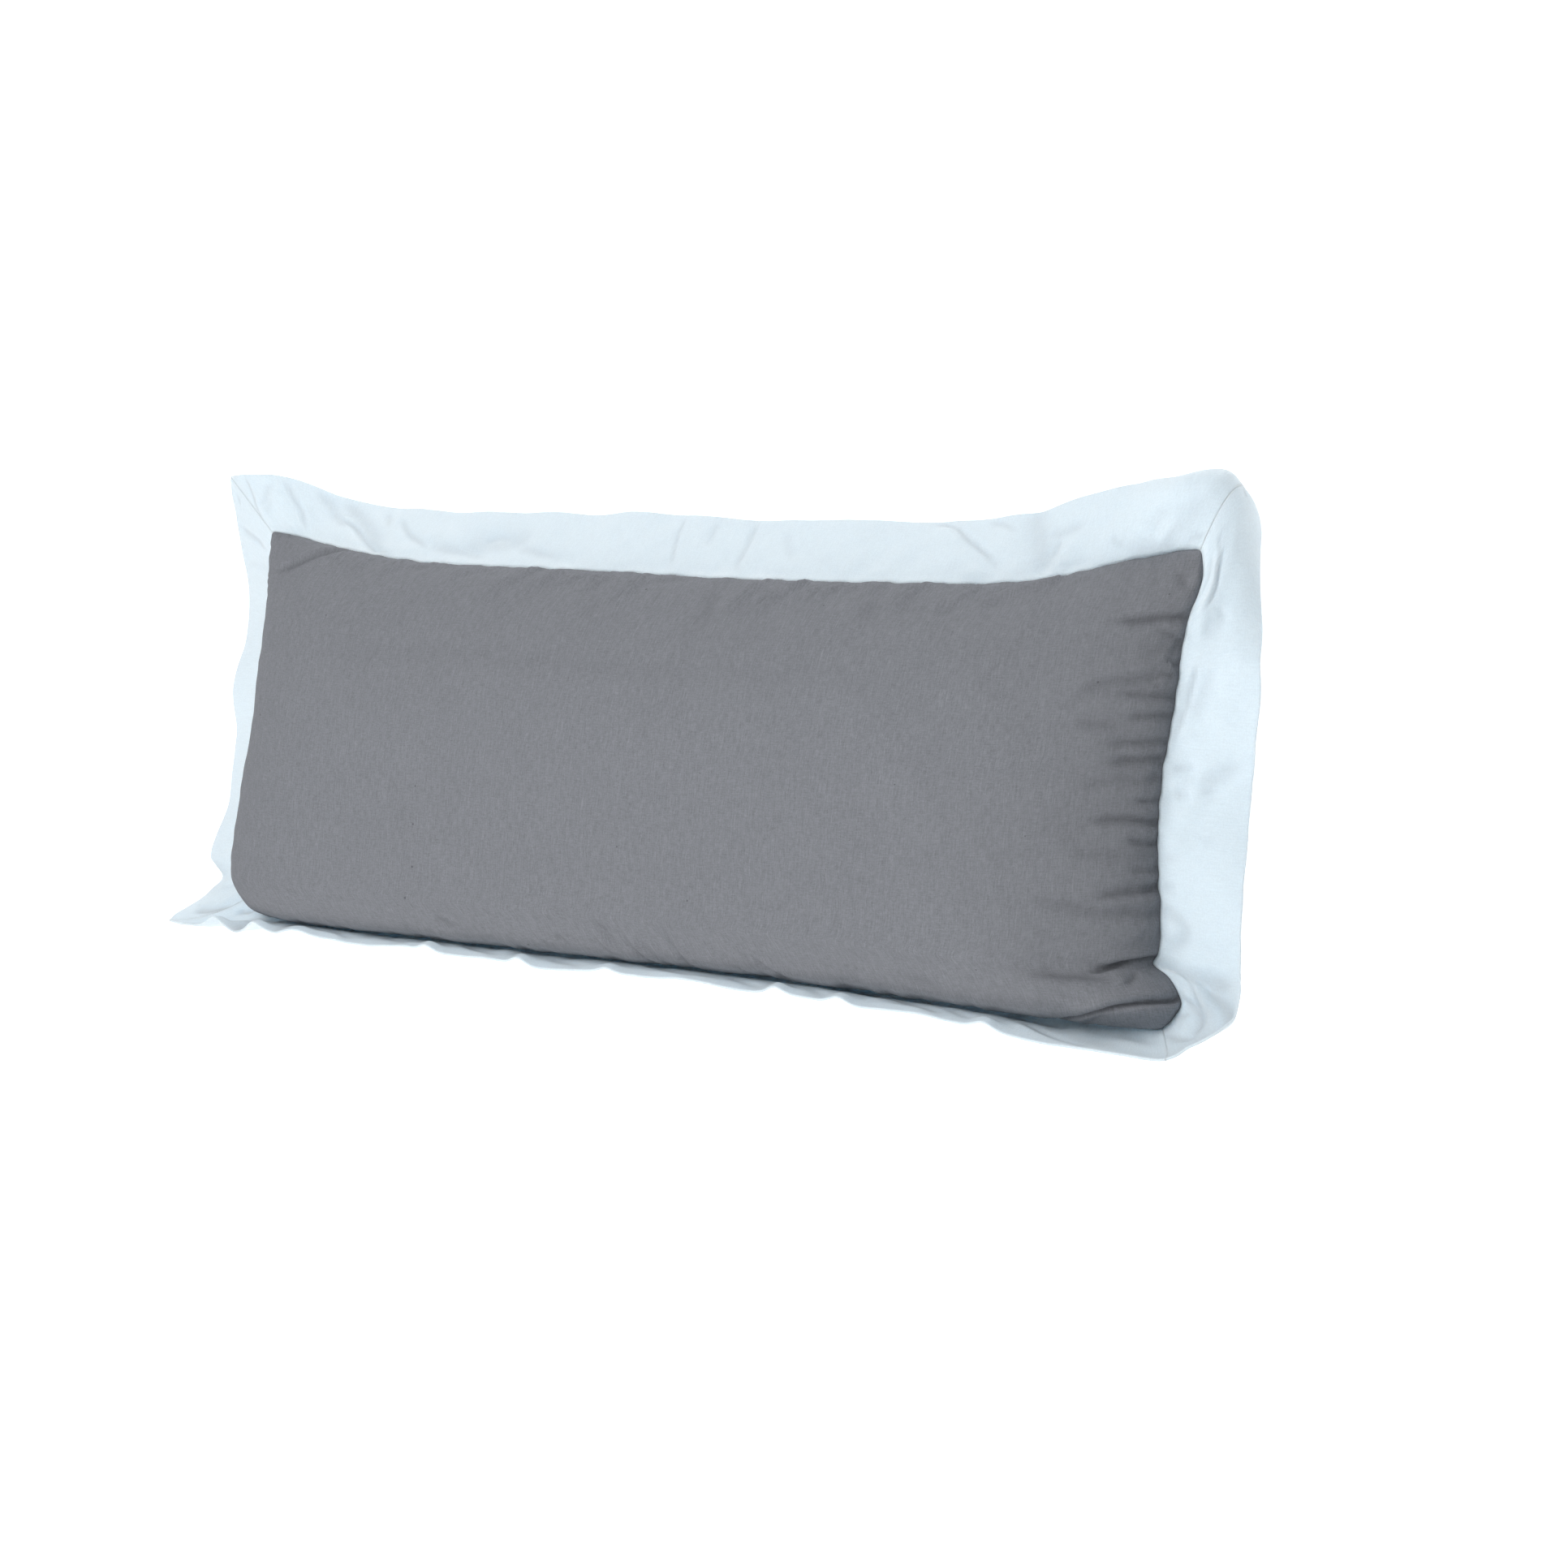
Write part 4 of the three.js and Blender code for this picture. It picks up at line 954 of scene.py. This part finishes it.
# ---- the pieces ----------------------------------------------------------------------------------
pillow = build_body(grey)
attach(pillow, "root")
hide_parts("pillow_body")

STRIP_FLAT = {  # inner and outer edge of the mitred strip, and its width, in metres
    "top": (0.914, 1.041), "bottom": (0.914, 1.041), "left": (0.356, 0.483), "right": (0.356, 0.483),
}
for name, (inside, outside) in STRIP_FLAT.items():
    strip = build_strip(name, white)
    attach(strip, "root")
    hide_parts("flange_" + name)

# ---- floor, light and camera -------------------------------------------------------------------------
def plane(name, size, at, material):
    mesh = bpy.data.meshes.new(name)
    h = size / 2
    mesh.from_pydata([(-h, -h, 0), (h, -h, 0), (h, h, 0), (-h, h, 0)], [], [(0, 1, 2, 3)])
    mesh.materials.append(material)
    made = bpy.data.objects.new(name, mesh)
    made.location = at
    bpy.context.scene.collection.objects.link(made)
    return made


k = Nodes("floor_white")
shader = k.add("ShaderNodeBsdfPrincipled")
shader.inputs["Base Color"].default_value = (0.93, 0.93, 0.93, 1)
shader.inputs["Roughness"].default_value = 1.0
shader.inputs["Specular IOR Level"].default_value = 0.0
shader.inputs["Emission Color"].default_value = (1, 1, 1, 1)
shader.inputs["Emission Strength"].default_value = 0.65
out = k.add("ShaderNodeOutputMaterial")
k.link(shader.outputs[0], out.inputs["Surface"])
floor = plane("floor", 14.0, (0, 0, 0), k.material)

world = bpy.data.worlds.new("studio")
bpy.context.scene.world = world
world.use_nodes = True
background = world.node_tree.nodes.get("Background") or world.node_tree.nodes.new("ShaderNodeBackground")
background.inputs[0].default_value = (1.0, 1.0, 1.0, 1.0)
background.inputs[1].default_value = 0.12


def softbox(name, direction, distance, size, watts, colour=(1, 1, 1)):
    lamp = bpy.data.lights.new(name, "AREA")
    lamp.shape = "SQUARE"
    lamp.size = size
    lamp.energy = watts
    lamp.color = colour
    made = bpy.data.objects.new(name, lamp)
    d = Vector(direction).normalized()
    made.location = d * distance + Vector((0, 0, 0.05))
    made.rotation_mode = "QUATERNION"
    made.rotation_quaternion = d.to_track_quat("Z", "Y")
    bpy.context.scene.collection.objects.link(made)
    return made


softbox("upper", (-0.2, 0.54, 1.2), 3.2, 2.4, 78)
softbox("lower", (-0.1, -1.0, 0.8), 3.2, 2.4, 53)
softbox("front", (0.6, 0.0, 1.0), 3.2, 2.4, 18)

RIGHT = np.array([0.8463, 0.0775, -0.5270])
DOWN = np.array([0.0710, -0.9969, -0.0327])
forward = unit(np.cross(RIGHT, DOWN))
right = unit(RIGHT)
down = np.cross(forward, right)
eye = place([1070.80, -1.52, 1536.58])
camera_data = bpy.data.cameras.new("camera")
camera_data.sensor_width = 36.0
camera_data.lens = 2900.0 / 1932.0 * 36.0
camera_data.clip_start, camera_data.clip_end = 0.05, 60.0
camera = bpy.data.objects.new("camera", camera_data)
camera.matrix_world = Matrix([
    [right[0], -down[0], -forward[0], eye[0]],
    [right[1], -down[1], -forward[1], eye[1]],
    [right[2], -down[2], -forward[2], eye[2]],
    [0, 0, 0, 1],
])
bpy.context.scene.collection.objects.link(camera)
bpy.context.scene.camera = camera

bpy.context.scene.view_settings.view_transform = "Standard"
bpy.context.scene.view_settings.look = "None"
bpy.context.scene.view_settings.exposure = 0.0
bpy.context.scene.view_settings.gamma = 1.0
